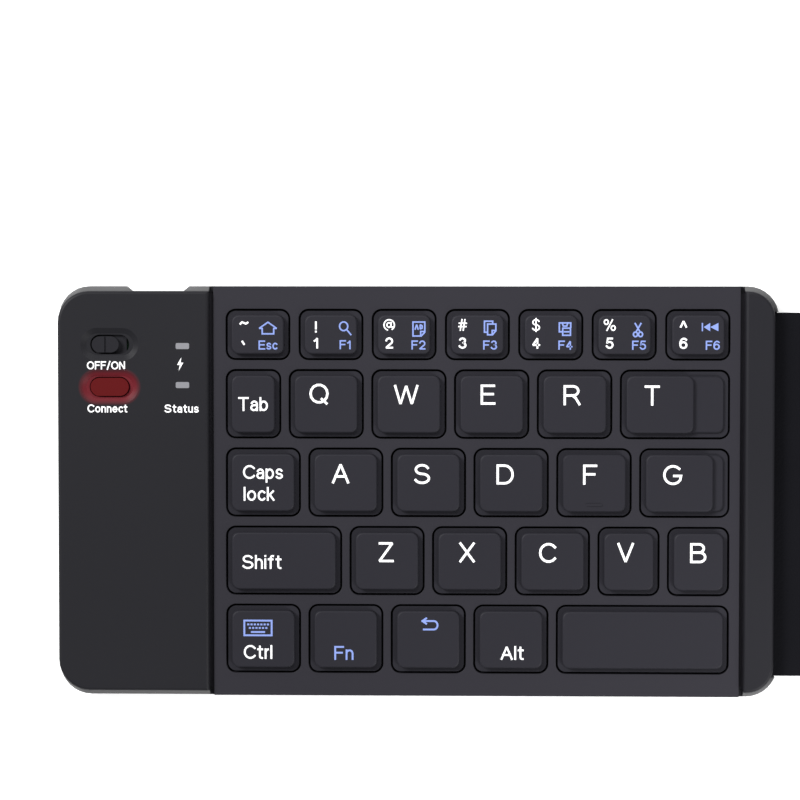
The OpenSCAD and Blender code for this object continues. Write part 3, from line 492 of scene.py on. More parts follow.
for side in ("left", "right"):
    dress_shell(side + "_bottom_shell")
    dress(side + "_key_frame", FRAME, FRAME_EDGE,
          above=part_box(side + "_key_frame")[1].z - FRAME_BAND)
    dress_strip(side + "_hinge_strip")
    dress(side + "_feet", FOOT, FOOT_EDGE, segments=3)
    for node, material in (("screws", STEEL), ("key_plate", STEEL), ("membrane", FILM)):
        paint(f"{side}_{node}", material)
dress("control_panel_cover", PANEL, 0)
dress("power_slider", CASE, SLIDER_EDGE)
dress("connect_button", BUTTON, BUTTON_EDGE, segments=3)
dress("light_pipes", LAMP, LAMP_EDGE)
for node, material in (("usb_socket", STEEL), ("control_board", BOARD), ("battery", FOIL)):
    paint(node, material)

# %% [markdown]
# ## Print
#
# Legends are pad-printed: a coat of ink two hundredths of a millimetre thick, in a
# plain alphabet whose strokes all have one width. So each letter is a few lines, and
# one function turns a line into a flat ribbon. Where a stroke turns, its sides meet in
# a mitre, or in a cut corner if the turn is sharp, as at the top of an A.

# %% Ribbons
INK_H = 0.02 * MM
# Ink reaches half its height down and up from its middle, which lies just above the
# face that carries it. So a coat starts inside the face.
UNDERSIDE = -0.5
PRINT_LIFT = INK_H * 0.2
WHITE, BLUE = 1, 2
# Cosines of half the turn: below the first a corner is cut, and the second limits a mitre.
SHARPEST_MITRE = 0.62
LONGEST_MITRE = 0.35
# Strokes that cross are raised by slightly different amounts, in shares of the ink's height.
LIFTS = 4
LIFT = 0.12
# Points this near are one point, in metres or in decimals of a metre.
SAME = 1e-6
DECIMALS = 9


def corner(before, here, after, half):
    """The left and right points of a stroke where it turns: one pair, or two at a sharp turn."""
    first = Vector((before.y - here.y, here.x - before.x)).normalized() * half
    second = Vector((here.y - after.y, after.x - here.x)).normalized() * half
    middle = (first + second).normalized()
    share = middle.dot(first) / half
    mitre = middle * (half / max(share, LONGEST_MITRE))
    if share > SHARPEST_MITRE:
        return [(here + mitre, here - mitre)]
    if first.cross(second) > 0:
        return [(here + mitre, here - first), (here + mitre, here - second)]
    return [(here + first, here - mitre), (here + second, here - mitre)]


def spot_key(spot):
    return (round(spot.x, DECIMALS), round(spot.y, DECIMALS))


def ribbon(shape, points, half, lift=0.0):
    """Adds the faces of one stroke. Its open ends are square and half a width longer."""
    line = [Vector(p) for i, p in enumerate(points) if i == 0 or p != points[i - 1]]
    closed = (line[0] - line[-1]).length < SAME
    if closed:
        line.pop()
    pairs = []
    for i, here in enumerate(line):
        before = line[i - 1] if closed or i > 0 else None
        after = line[(i + 1) % len(line)] if closed or i + 1 < len(line) else None
        if before and after:
            pairs += corner(before, here, after, half)
        else:
            along = ((after or here) - (before or here)).normalized() * half
            aside = Vector((-along.y, along.x))
            end = here - along if after else here + along
            pairs.append((end + aside, end - aside))
    spots = {}
    for spot in (s for pair in pairs for s in pair):
        if spot_key(spot) not in spots:
            spots[spot_key(spot)] = shape.verts.new((*spot, UNDERSIDE + lift))
    rows = [[spots[spot_key(s)] for s in pair] for pair in pairs]
    for (a, b), (c, d) in zip(rows, rows[1:] + rows[:1] if closed else rows[1:]):
        face = list(dict.fromkeys((a, b, d, c)))
        if len(face) > 2:
            shape.faces.new(face)


def add_print(work, shape, centre, ink_slot):
    """Thickens flat faces into a coat of ink and lays it at a place on a piece."""
    bmesh.ops.recalc_face_normals(shape, faces=shape.faces)
    raised = bmesh.ops.extrude_face_region(shape, geom=shape.faces[:])
    bmesh.ops.translate(shape, vec=(0, 0, 1),
                        verts=[v for v in raised["geom"] if isinstance(v, bmesh.types.BMVert)])
    bmesh.ops.recalc_face_normals(shape, faces=shape.faces)
    mesh = bpy.data.meshes.new("print")
    shape.to_mesh(mesh)
    shape.free()
    mesh.transform(Matrix.Translation(centre) @ Matrix.Diagonal((1, 1, INK_H, 1)))
    mesh.polygons.foreach_set("material_index", [ink_slot] * len(mesh.polygons))
    work.from_mesh(mesh)
    bpy.data.meshes.remove(mesh)


def strokes(work, lines, centre, across, up, width, ink_slot=BLUE):
    """Prints the lines of a symbol, whose points are in shares of across and up."""
    shape = bmesh.new()
    for i, points in enumerate(lines):
        ribbon(shape, [(x * across, y * up) for x, y in points], width / 2, i % LIFTS * LIFT)
    add_print(work, shape, centre, ink_slot)


def filled(work, outlines, centre, across, up, ink_slot=BLUE):
    """Prints filled shapes from their corners."""
    shape = bmesh.new()
    for points in outlines:
        shape.faces.new([shape.verts.new((x * across, y * up, UNDERSIDE)) for x, y in points])
    add_print(work, shape, centre, ink_slot)


def arc(x, y, across, up, start=0, end=360, steps=14):
    """Points along an ellipse, as a stroke takes them."""
    turns = [math.radians(start + (end - start) * i / steps) for i in range(steps + 1)]
    points = [(x + across * math.cos(t), y + up * math.sin(t)) for t in turns]
    return points[:-1] + points[:1] if end - start == 360 else points


# %% [markdown]
# ## A plain alphabet
#
# Each sign is a list of strokes, given by the middle of the line. Capitals stand from
# 0 to 1, small letters from 0 to 0.72, and x starts at 0.

# %% Signs
X_H = 0.72
BOWL_R = (0.27, X_H / 2)
LOW_BOWL = arc(0.27, X_H / 2, *BOWL_R)
HUMP = [(0, 0.42)] + arc(0.25, 0.44, 0.25, 0.28, 180, 0) + [(0.5, 0)]
EYE = arc(0.33, 0.31, 0.33, 0.31)
SIGNS = {
    "A": [[(0, 0), (0.42, 1), (0.84, 0)], [(0.14, 0.33), (0.70, 0.33)]],
    "B": [[(0, 0), (0, 1)], [(0, 1)] + arc(0.43, 0.765, 0.27, 0.235, 90, -90) + [(0, 0.53)],
          [(0.43, 0.53)] + arc(0.47, 0.265, 0.31, 0.265, 90, -90) + [(0, 0)]],
    "C": [arc(0.47, 0.5, 0.47, 0.5, 40, 320)],
    "D": [[(0, 0), (0, 1)] + arc(0.38, 0.5, 0.46, 0.5, 90, -90) + [(0, 0)]],
    "E": [[(0.68, 1), (0, 1), (0, 0), (0.70, 0)], [(0, 0.53), (0.62, 0.53)]],
    "F": [[(0.66, 1), (0, 1), (0, 0)], [(0, 0.52), (0.56, 0.52)]],
    "G": [arc(0.49, 0.5, 0.49, 0.5, 45, 325) + [(0.94, 0.45), (0.56, 0.45)]],
    "H": [[(0, 0), (0, 1)], [(0.8, 0), (0.8, 1)], [(0, 0.53), (0.8, 0.53)]],
    "I": [[(0, 0), (0, 1)]],
    "J": [[(0.55, 1)] + arc(0.28, 0.28, 0.27, 0.28, 0, -170)],
    "K": [[(0, 0), (0, 1)], [(0.72, 1), (0, 0.36)], [(0.26, 0.58), (0.76, 0)]],
    "L": [[(0, 1), (0, 0), (0.6, 0)]],
    "M": [[(0, 0), (0, 1), (0.46, 0.06), (0.92, 1), (0.92, 0)]],
    "N": [[(0, 0), (0, 1), (0.76, 0), (0.76, 1)]],
    "O": [arc(0.5, 0.5, 0.5, 0.5)],
    "P": [[(0, 0), (0, 1)], [(0, 1)] + arc(0.43, 0.74, 0.30, 0.26, 90, -90) + [(0, 0.48)]],
    "Q": [arc(0.48, 0.5, 0.48, 0.5), [(0.64, 0.19), (0.90, -0.05)]],
    "R": [[(0, 0), (0, 1)], [(0, 1)] + arc(0.46, 0.74, 0.30, 0.26, 90, -90) + [(0, 0.48)],
          [(0.42, 0.48), (0.60, 0.36), (0.82, 0)]],
    "S": [arc(0.39, 0.755, 0.35, 0.245, 22, 250) + arc(0.39, 0.255, 0.39, 0.255, 70, -158)],
    "T": [[(0, 1), (0.72, 1)], [(0.36, 1), (0.36, 0)]],
    "U": [[(0, 1)] + arc(0.38, 0.32, 0.38, 0.32, 180, 360) + [(0.76, 1)]],
    "V": [[(0, 1), (0.4, 0), (0.8, 1)]],
    "W": [[(0, 1), (0.30, 0), (0.62, 1), (0.94, 0), (1.24, 1)]],
    "X": [[(0, 1), (0.74, 0)], [(0, 0), (0.74, 1)]],
    "Y": [[(0, 1), (0.4, 0.45), (0.8, 1)], [(0.4, 0.45), (0.4, 0)]],
    "Z": [[(0.02, 1), (0.72, 1), (0, 0), (0.74, 0)]],
    "a": [arc(0.25, 0.47, 0.23, 0.25, 155, 0) + [(0.48, 0)],
          [(0.48, 0.42)] + arc(0.2, 0.20, 0.2, 0.20, 90, 270) + [(0.34, 0.02), (0.48, 0.17)]],
    "b": [[(0, 0), (0, 1)], LOW_BOWL],
    "c": [arc(0.28, X_H / 2, 0.28, X_H / 2, 45, 315)],
    "e": [[(0.02, 0.37), (0.58, 0.37)], arc(0.29, X_H / 2, 0.29, X_H / 2, 0, 318)],
    "f": [arc(0.32, 0.8, 0.16, 0.2, 75, 180) + [(0.16, 0)], [(0, X_H), (0.32, X_H)]],
    "h": [[(0, 0), (0, 1)], HUMP],
    "i": [[(0, 0), (0, X_H)], [(0, 0.99), (0, 1)]],
    "k": [[(0, 0), (0, 1)], [(0.44, X_H), (0, 0.28)], [(0.17, 0.43), (0.48, 0)]],
    "l": [[(0, 0), (0, 1)]],
    "n": [[(0, 0), (0, X_H)], HUMP],
    "o": [arc(0.3, X_H / 2, 0.3, X_H / 2)],
    "p": [[(0, -0.3), (0, X_H)], LOW_BOWL],
    "r": [[(0, 0), (0, X_H)], [(0, 0.42)] + arc(0.24, 0.44, 0.24, 0.28, 180, 100)],
    "s": [arc(0.23, 0.53, 0.21, 0.19, 25, 250) + arc(0.23, 0.17, 0.23, 0.17, 70, -155)],
    "t": [[(0.15, 0.95)] + arc(0.32, 0.16, 0.17, 0.16, 180, 275), [(0, X_H), (0.34, X_H)]],
    "u": [[(0, X_H)] + arc(0.24, 0.26, 0.24, 0.26, 180, 360) + [(0.48, X_H)],
          [(0.48, 0.3), (0.48, 0)]],
    "0": [arc(0.32, 0.5, 0.32, 0.5)],
    "1": [[(0, 0.72), (0.14, 0.80), (0.27, 1), (0.27, 0)]],
    "2": [arc(0.33, 0.69, 0.32, 0.31, 165, -35) + [(0, 0), (0.65, 0)]],
    "3": [arc(0.31, 0.76, 0.28, 0.24, 155, -90) + arc(0.31, 0.26, 0.33, 0.26, 90, -160)],
    "4": [[(0.47, 0), (0.47, 1), (0, 0.30), (0.66, 0.30)]],
    "5": [[(0.58, 1), (0.13, 1), (0.05, 0.47)] + arc(0.31, 0.32, 0.33, 0.32, 130, -155)],
    "6": [EYE, arc(0.38, 0.5, 0.38, 0.5, 50, 195)],
    "7": [[(0, 1), (0.64, 1), (0.22, 0)]],
    "8": [arc(0.33, 0.77, 0.27, 0.23), arc(0.33, 0.27, 0.33, 0.27)],
    "9": [arc(0.33, 0.69, 0.33, 0.31), arc(0.28, 0.5, 0.38, 0.5, 15, -130)],
    "~": [[(0, 0.5), (0.16, 0.66), (0.36, 0.60), (0.58, 0.50), (0.76, 0.62)]],
    "`": [[(0, 1), (0.16, 0.74)]],
    "!": [[(0, 0.34), (0, 1)], [(0, 0), (0, 0.01)]],
    "@": [arc(0.5, 0.5, 0.5, 0.5, -55, 250, 20), arc(0.48, 0.5, 0.2, 0.22),
          [(0.7, 0.74), (0.66, 0.32), (0.86, 0.30)]],
    "#": [[(0.30, 1), (0.14, 0)], [(0.58, 1), (0.42, 0)],
          [(0.04, 0.66), (0.72, 0.66)], [(0, 0.34), (0.68, 0.34)]],
    "$": [arc(0.33, 0.755, 0.30, 0.245, 22, 250) + arc(0.33, 0.255, 0.33, 0.255, 70, -158),
          [(0.33, 1.1), (0.33, -0.1)]],
    "%": [arc(0.19, 0.78, 0.19, 0.22), arc(0.85, 0.22, 0.19, 0.22), [(0.78, 1), (0.26, 0)]],
    "^": [[(0, 0.42), (0.28, 1), (0.56, 0.42)]],
    "&": [[(0.8, 0), (0.22, 0.66)] + arc(0.37, 0.82, 0.18, 0.18, 215, -45) + [(0.12, 0.40)]
          + arc(0.28, 0.22, 0.28, 0.22, 150, 310) + [(0.74, 0.48)]],
    "*": [[(0.3, 0.4), (0.3, 1)], [(0.02, 0.54), (0.58, 0.86)], [(0.02, 0.86), (0.58, 0.54)]],
    "(": [arc(0.5, 0.42, 0.5, 0.78, 130, 230)],
    ")": [arc(-0.2, 0.42, 0.5, 0.78, 50, -50)],
    "_": [[(0, 0), (0.62, 0)]],
    "-": [[(0, 0.42), (0.4, 0.42)]],
    "+": [[(0, 0.42), (0.64, 0.42)], [(0.32, 0.1), (0.32, 0.74)]],
    "=": [[(0, 0.28), (0.64, 0.28)], [(0, 0.60), (0.64, 0.60)]],
    "/": [[(0, -0.05), (0.4, 1.05)]],
    ":": [[(0, 0.02), (0, 0.03)], [(0, 0.60), (0, 0.61)]],
    ";": [[(0.1, 0.06), (0, -0.18)], [(0.08, 0.60), (0.08, 0.61)]],
    ",": [[(0.1, 0.06), (0, -0.18)]],
    ".": [[(0, 0), (0, 0.01)]],
    "<": [[(0.6, 0.75), (0, 0.42), (0.6, 0.09)]],
    ">": [[(0, 0.75), (0.6, 0.42), (0, 0.09)]],
    "?": [arc(0.3, 0.74, 0.28, 0.26, 165, -40) + [(0.3, 0.36)], [(0.3, 0), (0.3, 0.01)]],
}
# The gap between two signs, as a share of a capital's height.
SIGN_GAP = 0.13
print("signs:", len(SIGNS))


def write(work, words, centre, height, width, ink_slot=WHITE, across=None):
    """Prints words with capitals of a height and strokes of a width, centred on what shows.

    If `across` is given, the words are stretched to that length.
    """
    up = height - width
    lines, x = [], 0.0
    for sign in words:
        signed = [[(px + x, py) for px, py in line] for line in SIGNS[sign]]
        lines += signed
        x = max(px for line in signed for px, _ in line) + SIGN_GAP + width / up
    xs = [px for line in lines for px, _ in line]
    ys = [py for line in lines for _, py in line]
    wide = (across - width) / (max(xs) - min(xs)) if across else up
    middle = ((min(xs) + max(xs)) / 2, (min(ys) + max(ys)) / 2)
    lines = [[(px - middle[0], py - middle[1]) for px, py in line] for line in lines]
    strokes(work, lines, centre, wide, up, width, ink_slot)


# %% [markdown]
# ## Symbols
#
# The function row has small blue symbols for home, find, select, copy, paste, cut and
# back. Each is a few strokes in a box from -1 to 1.

# %% Symbol shapes
SYMBOLS = {
    "home": [[(-1, -0.06), (0, 1), (1, -0.06), (0.66, -0.06), (0.66, -1),
              (-0.66, -1), (-0.66, -0.06), (-1, -0.06)]],
    "find": [arc(-0.25, 0.28, 0.72, 0.68), [(0.28, -0.24), (0.98, -1)]],
    "select": [[(-1, -1), (-1, 1), (1, 1), (1, -0.45), (0.40, -1), (-1, -1)],
               [(0.30, -1), (0.30, -0.35), (1, -0.35)],
               [(-0.62, 0), (-0.38, 0.62), (-0.14, 0)],
               [(0.22, 0), (0.22, 0.62), (0.55, 0.46), (0.55, 0.12), (0.22, 0)]],
    "copy": [[(-0.5, -0.62), (-1, -0.62), (-1, 1), (0.45, 1), (0.45, 0.72)],
             [(-0.45, -1), (-0.45, 0.58), (1, 0.58), (1, -0.42), (0.42, -1), (-0.45, -1)],
             [(0.36, -1), (0.36, -0.36), (1, -0.36)]],
    "paste": [[(-0.4, -0.45), (-1, -0.45), (-1, 0.95), (1, 0.95), (1, 0.3)],
              [(-0.5, 0.95), (-0.3, 0.45), (0.3, 0.45), (0.5, 0.95)],
              [(-0.4, -1), (-0.4, 0.12), (0.95, 0.12), (0.95, -1), (-0.4, -1)],
              [(-0.1, -0.45), (0.65, -0.45)]],
    "cut": [[(-0.62, 1), (0.45, -0.30)], [(0.62, 1), (-0.45, -0.30)],
            arc(-0.55, -0.65, 0.45, 0.35), arc(0.55, -0.65, 0.45, 0.35)],
    "return": [[(-0.5, 1), (-1, 0.6), (-0.5, 0.2)],
               [(-1, 0.6), (0.5, 0.6)] + arc(0.5, -0.05, 0.5, 0.65, 90, -90, 10) + [(-0.8, -0.7)]],
    "keyboard": [[(-1, -1), (-1, 1), (1, 1), (1, -1), (-1, -1)], [(-0.45, -0.55), (0.45, -0.55)]]
                + [[(-0.72 + 0.24 * i, 0.48), (-0.70 + 0.24 * i, 0.48)] for i in range(7)]
                + [[(-0.60 + 0.24 * i, 0.0), (-0.58 + 0.24 * i, 0.0)] for i in range(6)],
    "left": [[(1, 0), (-0.9, 0)], [(-0.3, 0.6), (-1, 0), (-0.3, -0.6)]],
    "right": [[(-1, 0), (0.9, 0)], [(0.3, 0.6), (1, 0), (0.3, -0.6)]],
    "up": [[(0, -1), (0, 0.9)], [(-0.6, 0.3), (0, 1), (0.6, 0.3)]],
    "down": [[(0, 1), (0, -0.9)], [(-0.6, -0.3), (0, -1), (0.6, -0.3)]],
}
TRACK = [[(0.02, 0), (1, 1), (1, -1)], [(-0.76, 0), (0.02, 1), (0.02, -1)],
         [(-1, 1), (-0.84, 1), (-0.84, -1), (-1, -1)]]
BOLT = [(0.30, 1), (-0.85, -0.12), (-0.10, -0.12), (-0.45, -1), (0.85, 0.22), (0.12, 0.22)]
# Half the width and half the height of each symbol in millimetres, to the middle of its strokes.
SYMBOL_SIZE = {"home": (2.0, 1.33), "find": (1.32, 1.48), "select": (1.35, 1.6),
               "copy": (1.3, 1.55), "paste": (1.3, 1.45), "cut": (1.05, 1.5), "track": (1.9, 0.95)}
SYMBOL_STROKE = 0.34 * MM
print("symbols:", len(SYMBOLS))

# %% [markdown]
# ## Keycaps
#
# Each cap is the CAD solid with its upper edges rounded, and its legend printed on it.
# The letters stand high and left of the middle, as on many compact keyboards.

# %% What each key says
# Heights of capitals and widths of strokes. Crowded signs are taller and finer.
LETTER = (4.6 * MM, 0.54 * MM)
WORD = (3.2 * MM, 0.42 * MM)
DIGIT = (2.55 * MM, 0.41 * MM)
FINE_SIGN = (2.7 * MM, 0.30 * MM)
FINE_SIGNS = "@#$%&"
F_LABEL = (2.1 * MM, 0.33 * MM)
# Places are in millimetres, to the right and to the rear of the middle of a cap's top.
NUMBER_PRINTS = {
    "backquote": (("~", -3.1, 2.65), ("`", -3.3, -1.9), ("home", 2.4, 1.5), ("Esc", 2.4, -2.4)),
    "1": (("!", -3.4, 1.75), ("1", -3.4, -1.9), ("find", 3.3, 1.5), ("F1", 3.3, -2.3)),
    "2": (("@", -3.4, 2.25), ("2", -3.4, -1.9), ("select", 3.4, 1.3), ("F2", 3.3, -2.35)),
    "3": (("#", -3.4, 2.25), ("3", -3.4, -1.9), ("copy", 2.9, 1.55), ("F3", 2.9, -2.35)),
    "4": (("$", -3.4, 2.25), ("4", -3.4, -1.9), ("paste", 3.2, 1.35), ("F4", 3.3, -2.35)),
    "5": (("%", -3.4, 2.25), ("5", -3.4, -1.9), ("cut", 3.05, 1.1), ("F5", 3.3, -2.35)),
    "6": (("^", -3.4, 2.5), ("6", -3.4, -1.9), ("track", 2.65, 1.8), ("F6", 3.3, -2.35)),
}
LETTER_PLACES = {
    "q": (-1.6, 2.3), "w": (-0.6, 2.15), "e": (-0.85, 2.25), "r": (-0.65, 2.15), "t": (-1.85, 2.1),
    "a": (-1.15, 2.15), "s": (-1.4, 2.05), "d": (-1.4, 2.0), "f": (-0.95, 2.0), "g": (-1.6, 1.95),
    "z": (-0.2, 2.1), "x": (-0.6, 2.1), "c": (-1.15, 2.05), "v": (-0.75, 2.1), "b": (-0.1, 2.1),
}
WORD_PLACES = {
    "tab": [("Tab", 0.0, 0.0, WHITE)],
    "caps_lock": [("Caps", 0.0, 2.0, WHITE), ("lock", -0.9, -2.6, WHITE)],
    "left_shift": [("Shift", -5.0, -0.25, WHITE)],
    "ctrl": [("Ctrl", -1.2, -3.0, WHITE)],
    "fn": [("Fn", -0.4, -3.15, BLUE)],
    "alt": [("Alt", 0.3, -3.0, WHITE)],
}
# The right half's keys, row by row from the rear and from left to right.
RIGHT_PRINTS = {
    "right_number_keys": ["&7", "*8", "(9", ")0", "_-", "+=", "Del"],
    "right_letter_keys": ["Y", "U", "I", "O", "P", "left",
                          "H", "J", "K", "L", ":;", "Enter",
                          "N", "M", "<,", ">.", "?/", "Shift"],
    "right_bottom_keys": ["", "left", "up", "down", "right"],
}
UPPER_LEFT = (-1.3, 2.0)
SIGN_X = -3.3
SIGN_Y = {"right_number_keys": (2.2, -1.9), "right_letter_keys": (2.6, -2.6)}
ARROW = (1.8 * MM, 1.8 * MM, 0.46 * MM)
# Two blue symbols of the bottom row: half a width, half a height and a stroke.
KEYBOARD_SYMBOL = (3.15 * MM, 1.7 * MM, 0.42 * MM)
KEYBOARD_PLACE = (-1.2, 2.55)
RETURN_SYMBOL = (1.75 * MM, 1.5 * MM, 0.42 * MM)
RETURN_PLACE = (0.4, 3.4)
# Two caps have a low step on the right, and their print goes by their raised face.
STEPPED_KEYS = ("t", "g")
STEPPED_FACE = 15.6 * MM
FACE_INSET = 1.35 * MM
KEY_GAP = 0.475 * MM
KEY_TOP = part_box("key_q")[1].z
print("tops of the caps in mm:", round(KEY_TOP / MM, 2))


def top_of(key, node):
    """The middle of a cap's raised top, at the height of its ink."""
    low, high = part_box(node)
    x = (low.x + high.x) / 2
    if key in STEPPED_KEYS:
        x = low.x - KEY_GAP + FACE_INSET + STEPPED_FACE / 2
    return Vector((x, (low.y + high.y) / 2, KEY_TOP + PRINT_LIFT))


def spot(top, x, y):
    """A place on a cap, in millimetres from the middle of its top."""
    return top + Vector((x * MM, y * MM, 0))


# %% Print the left keys
def symbol(work, name, centre):
    across, up = (size * MM for size in SYMBOL_SIZE[name])
    if name == "track":
        filled(work, TRACK, centre, across, up)
    else:
        strokes(work, SYMBOLS[name], centre, across, up, SYMBOL_STROKE)


def print_number(work, top, key):
    upper, lower, picture, label = NUMBER_PRINTS[key]
    for sign, x, y in (upper, lower):
        write(work, sign, spot(top, x, y), *(FINE_SIGN if sign in FINE_SIGNS else DIGIT))
    symbol(work, picture[0], spot(top, *picture[1:]))
    write(work, label[0], spot(top, *label[1:]), *F_LABEL, BLUE)


def print_left(work, top, key):
    if key in NUMBER_PRINTS:
        print_number(work, top, key)
    elif key in LETTER_PLACES:
        write(work, key.upper(), spot(top, *LETTER_PLACES[key]), *LETTER)
    for words, x, y, ink_slot in WORD_PLACES.get(key, []):
        write(work, words, spot(top, x, y), *WORD, ink_slot)
    if key == "ctrl":
        strokes(work, SYMBOLS["keyboard"], spot(top, *KEYBOARD_PLACE), *KEYBOARD_SYMBOL)
    if key == "meta":
        strokes(work, SYMBOLS["return"], spot(top, *RETURN_PLACE), *RETURN_SYMBOL)


CAP_EDGE = 0.12 * MM
# Only the edges less than this far below a cap's top are softened.
CAP_SIDE = 0.6 * MM
EDGE_ANGLE = math.radians(30)
INKS = [KEYCAP, WHITE_INK, BLUE_INK]


def softened_cap(node):
    work = merged_copy(node)
    soften(work, CAP_EDGE, 2, KEY_TOP - CAP_SIDE, EDGE_ANGLE)
    return work


left_keys = [n for n in BODY_OF if n.startswith("key_")]
for node in left_keys:
    key = node[len("key_"):]
    work = softened_cap(node)
    print_left(work, top_of(key, node), key)
    finish_piece(work, node.replace("key_", "cap_"), INKS, node)
print("left caps:", len(left_keys))


# %% Print the right keys
def islands(work):
    """Boxes of the separate solids in a bmesh, from the rear to the front and left to right."""
    left = set(work.verts)
    boxes = []
    while left:
        todo = [left.pop()]
        found = list(todo)
        while todo:
            for edge in todo.pop().link_edges:
                for other in edge.verts:
                    if other in left:
                        left.remove(other)
                        todo.append(other)
                        found.append(other)
        low = Vector([min(v.co[i] for v in found) for i in range(3)])
        high = Vector([max(v.co[i] for v in found) for i in range(3)])
        boxes.append((low, high))
    return sorted(boxes, key=lambda box: (-round((box[0].y + box[1].y) / MM), box[0].x))


def print_right(work, top, node, says):
    if says in ("left", "right", "up", "down"):
        strokes(work, SYMBOLS[says], top, *ARROW, WHITE)
    elif len(says) == 1:
        write(work, says, spot(top, *UPPER_LEFT), *LETTER)
    elif len(says) == 2:
        for sign, y in zip(says, SIGN_Y[node]):
            write(work, sign, spot(top, SIGN_X, y), *(FINE_SIGN if sign in FINE_SIGNS else DIGIT))
    elif says:
        write(work, says, top, *WORD)


right_cells = {}
for node, prints in RIGHT_PRINTS.items():
    right_cells[node] = islands(merged_copy(node))
    work = softened_cap(node)
    for (low, high), says in zip(right_cells[node], prints):
        top = Vector(((low.x + high.x) / 2, (low.y + high.y) / 2, KEY_TOP + PRINT_LIFT))
        print_right(work, top, node, says)
    finish_piece(work, node.replace("_keys", "_caps"), INKS, node)
    print(node, "caps:", len(right_cells[node]))

# %% [markdown]
# ## Links and domes
#
# Under each cap two links cross like scissors, and a rubber dome pushes the cap back
# up. When a key goes down, its links lie flatter and its dome buckles. So each key
# gets its own set, cut out of the two solids that hold them all.

# %% Cut the sets apart
SHEET_H = 0.2 * MM
PIN_R = 0.45 * MM
# Points this near the cutting plane count as on it.
CUT_REACH = 1e-8
SHEET_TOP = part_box("left_membrane")[1].z + SHEET_H
UPPER_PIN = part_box("left_scissor_links")[1].z - PIN_R
TRAVEL = next(j for j in frame["joints"] if j["name"] == "key_q_press")["range_m"][1]
# What is left of a set's height when its key is down.
FLATTENED = (UPPER_PIN - TRAVEL - SHEET_TOP) / (UPPER_PIN - SHEET_TOP)


def within(place, cells):
    return any(low.x < place.x < high.x and low.y < place.y < high.y for low, high in cells)


def middle_of(edge):
    return (edge.verts[0].co + edge.verts[1].co) / 2


def cut_at_sheet(work, keep_above, cells):
    """Parts the domes from their sheet, closes each one's ring and counts open edges."""
    bmesh.ops.bisect_plane(work, geom=work.verts[:] + work.edges[:] + work.faces[:],
                           plane_co=(0, 0, SHEET_TOP), plane_no=(0, 0, 1), dist=CUT_REACH,
                           clear_inner=keep_above, clear_outer=not keep_above)
    if keep_above:
        level = [f for f in work.faces if all(abs(v.co.z - SHEET_TOP) < MERGE for v in f.verts)]
        bmesh.ops.delete(work, geom=level, context="FACES")
    for cell in cells:
        ring = [e for e in work.edges if e.is_boundary and within(middle_of(e), [cell])]
        if ring:
            bmesh.ops.bridge_loops(work, edges=ring)
    return sum(not e.is_manifold for e in work.edges)


def shared_out(work, groups):
    """The faces of a bmesh, listed for each group of keys that they lie under."""
    found = {name: [] for name in groups}
    for face in work.faces:
        middle = face.calc_center_median()
        name = next((n for n, cells in groups.items() if within(middle, cells)), None)
        if name:
            found[name].append([v.co.copy() for v in face.verts])
    return found


def add_faces(work, faces, ink_slot):
    """Adds loose faces to a bmesh and joins them where their corners agree."""
    spots = {}
    for corners in faces:
        for co in corners:
            if co[:] not in spots:
                spots[co[:]] = work.verts.new(co)
        work.faces.new([spots[co[:]] for co in corners]).material_index = ink_slot


left_cells = {node: [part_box(node)] for node in left_keys}
for side, groups in (("left", left_cells), ("right", right_cells)):
    all_cells = [cell for cells in groups.values() for cell in cells]
    domes = merged_copy(side + "_dome_sheet")
    open_domes = cut_at_sheet(domes, True, all_cells)
    link_faces = shared_out(merged_copy(side + "_scissor_links"), groups)
    dome_faces = shared_out(domes, groups)
    for node in groups:
        work = bmesh.new()
        add_faces(work, link_faces[node], 0)
        add_faces(work, dome_faces[node], 1)
        name = node.replace("key_", "set_").replace("_keys", "_sets")
        piece = finish_piece(work, name, [LINK, DOME], side + "_scissor_links", side + "_dome_sheet")
        node + "_press"
        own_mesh(piece)
    sheet = merged_copy(side + "_dome_sheet")
    open_sheet = cut_at_sheet(sheet, False, all_cells)
    finish_piece(sheet, side + "_rubber_sheet", [DOME], side + "_dome_sheet")
    print(side, "sets:", len(groups), "open edges left:", open_domes, open_sheet)

# %% [markdown]
# ## The spine
#
# The rubber spine bends when the keyboard folds. It is cut into many short lengths
# so that it can bend smoothly from one half to the other.

# %% Cut the spine
FOLD_X = next(j for j in frame["joints"] if j["name"] == "fold")["pos_m"][0]
SPINE_GAP = 12 * MM
SPINE_CUTS = 36
SPINE_CUT_REACH = 1e-7


def bending(node, name, material):
    """A merged copy of a strip, cut across many times near the fold."""
    work = merged_copy(node)
    for i in range(SPINE_CUTS + 1):
        x = FOLD_X - SPINE_GAP / 2 + SPINE_GAP * i / SPINE_CUTS
        bmesh.ops.bisect_plane(work, geom=work.verts[:] + work.edges[:] + work.faces[:],
                               plane_co=(x, 0, 0), plane_no=(1, 0, 0), dist=SPINE_CUT_REACH)
    work.normal_update()
    piece = new_piece(work, name, [material])
    for polygon in piece.data.polygons:
        polygon.use_smooth = abs(polygon.normal.z) > SQUARE_ON
    FOLD_X + SPINE_GAP / 2
    FOLD_X - SPINE_GAP / 2
    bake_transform(piece)
    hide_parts(node)
    print(name, "faces:", len(piece.data.polygons))


bending("spine_skin", "flexible_spine", SPINE)
bending("spine_cable", "flat_cable", CABLE)

# %% [markdown]
# ## Panel print
#
# The control panel names its slider, its button and its two lamps in small bold words.

# %% Words on the panel
PANEL_WORD = (1.88 * MM, 0.30 * MM)
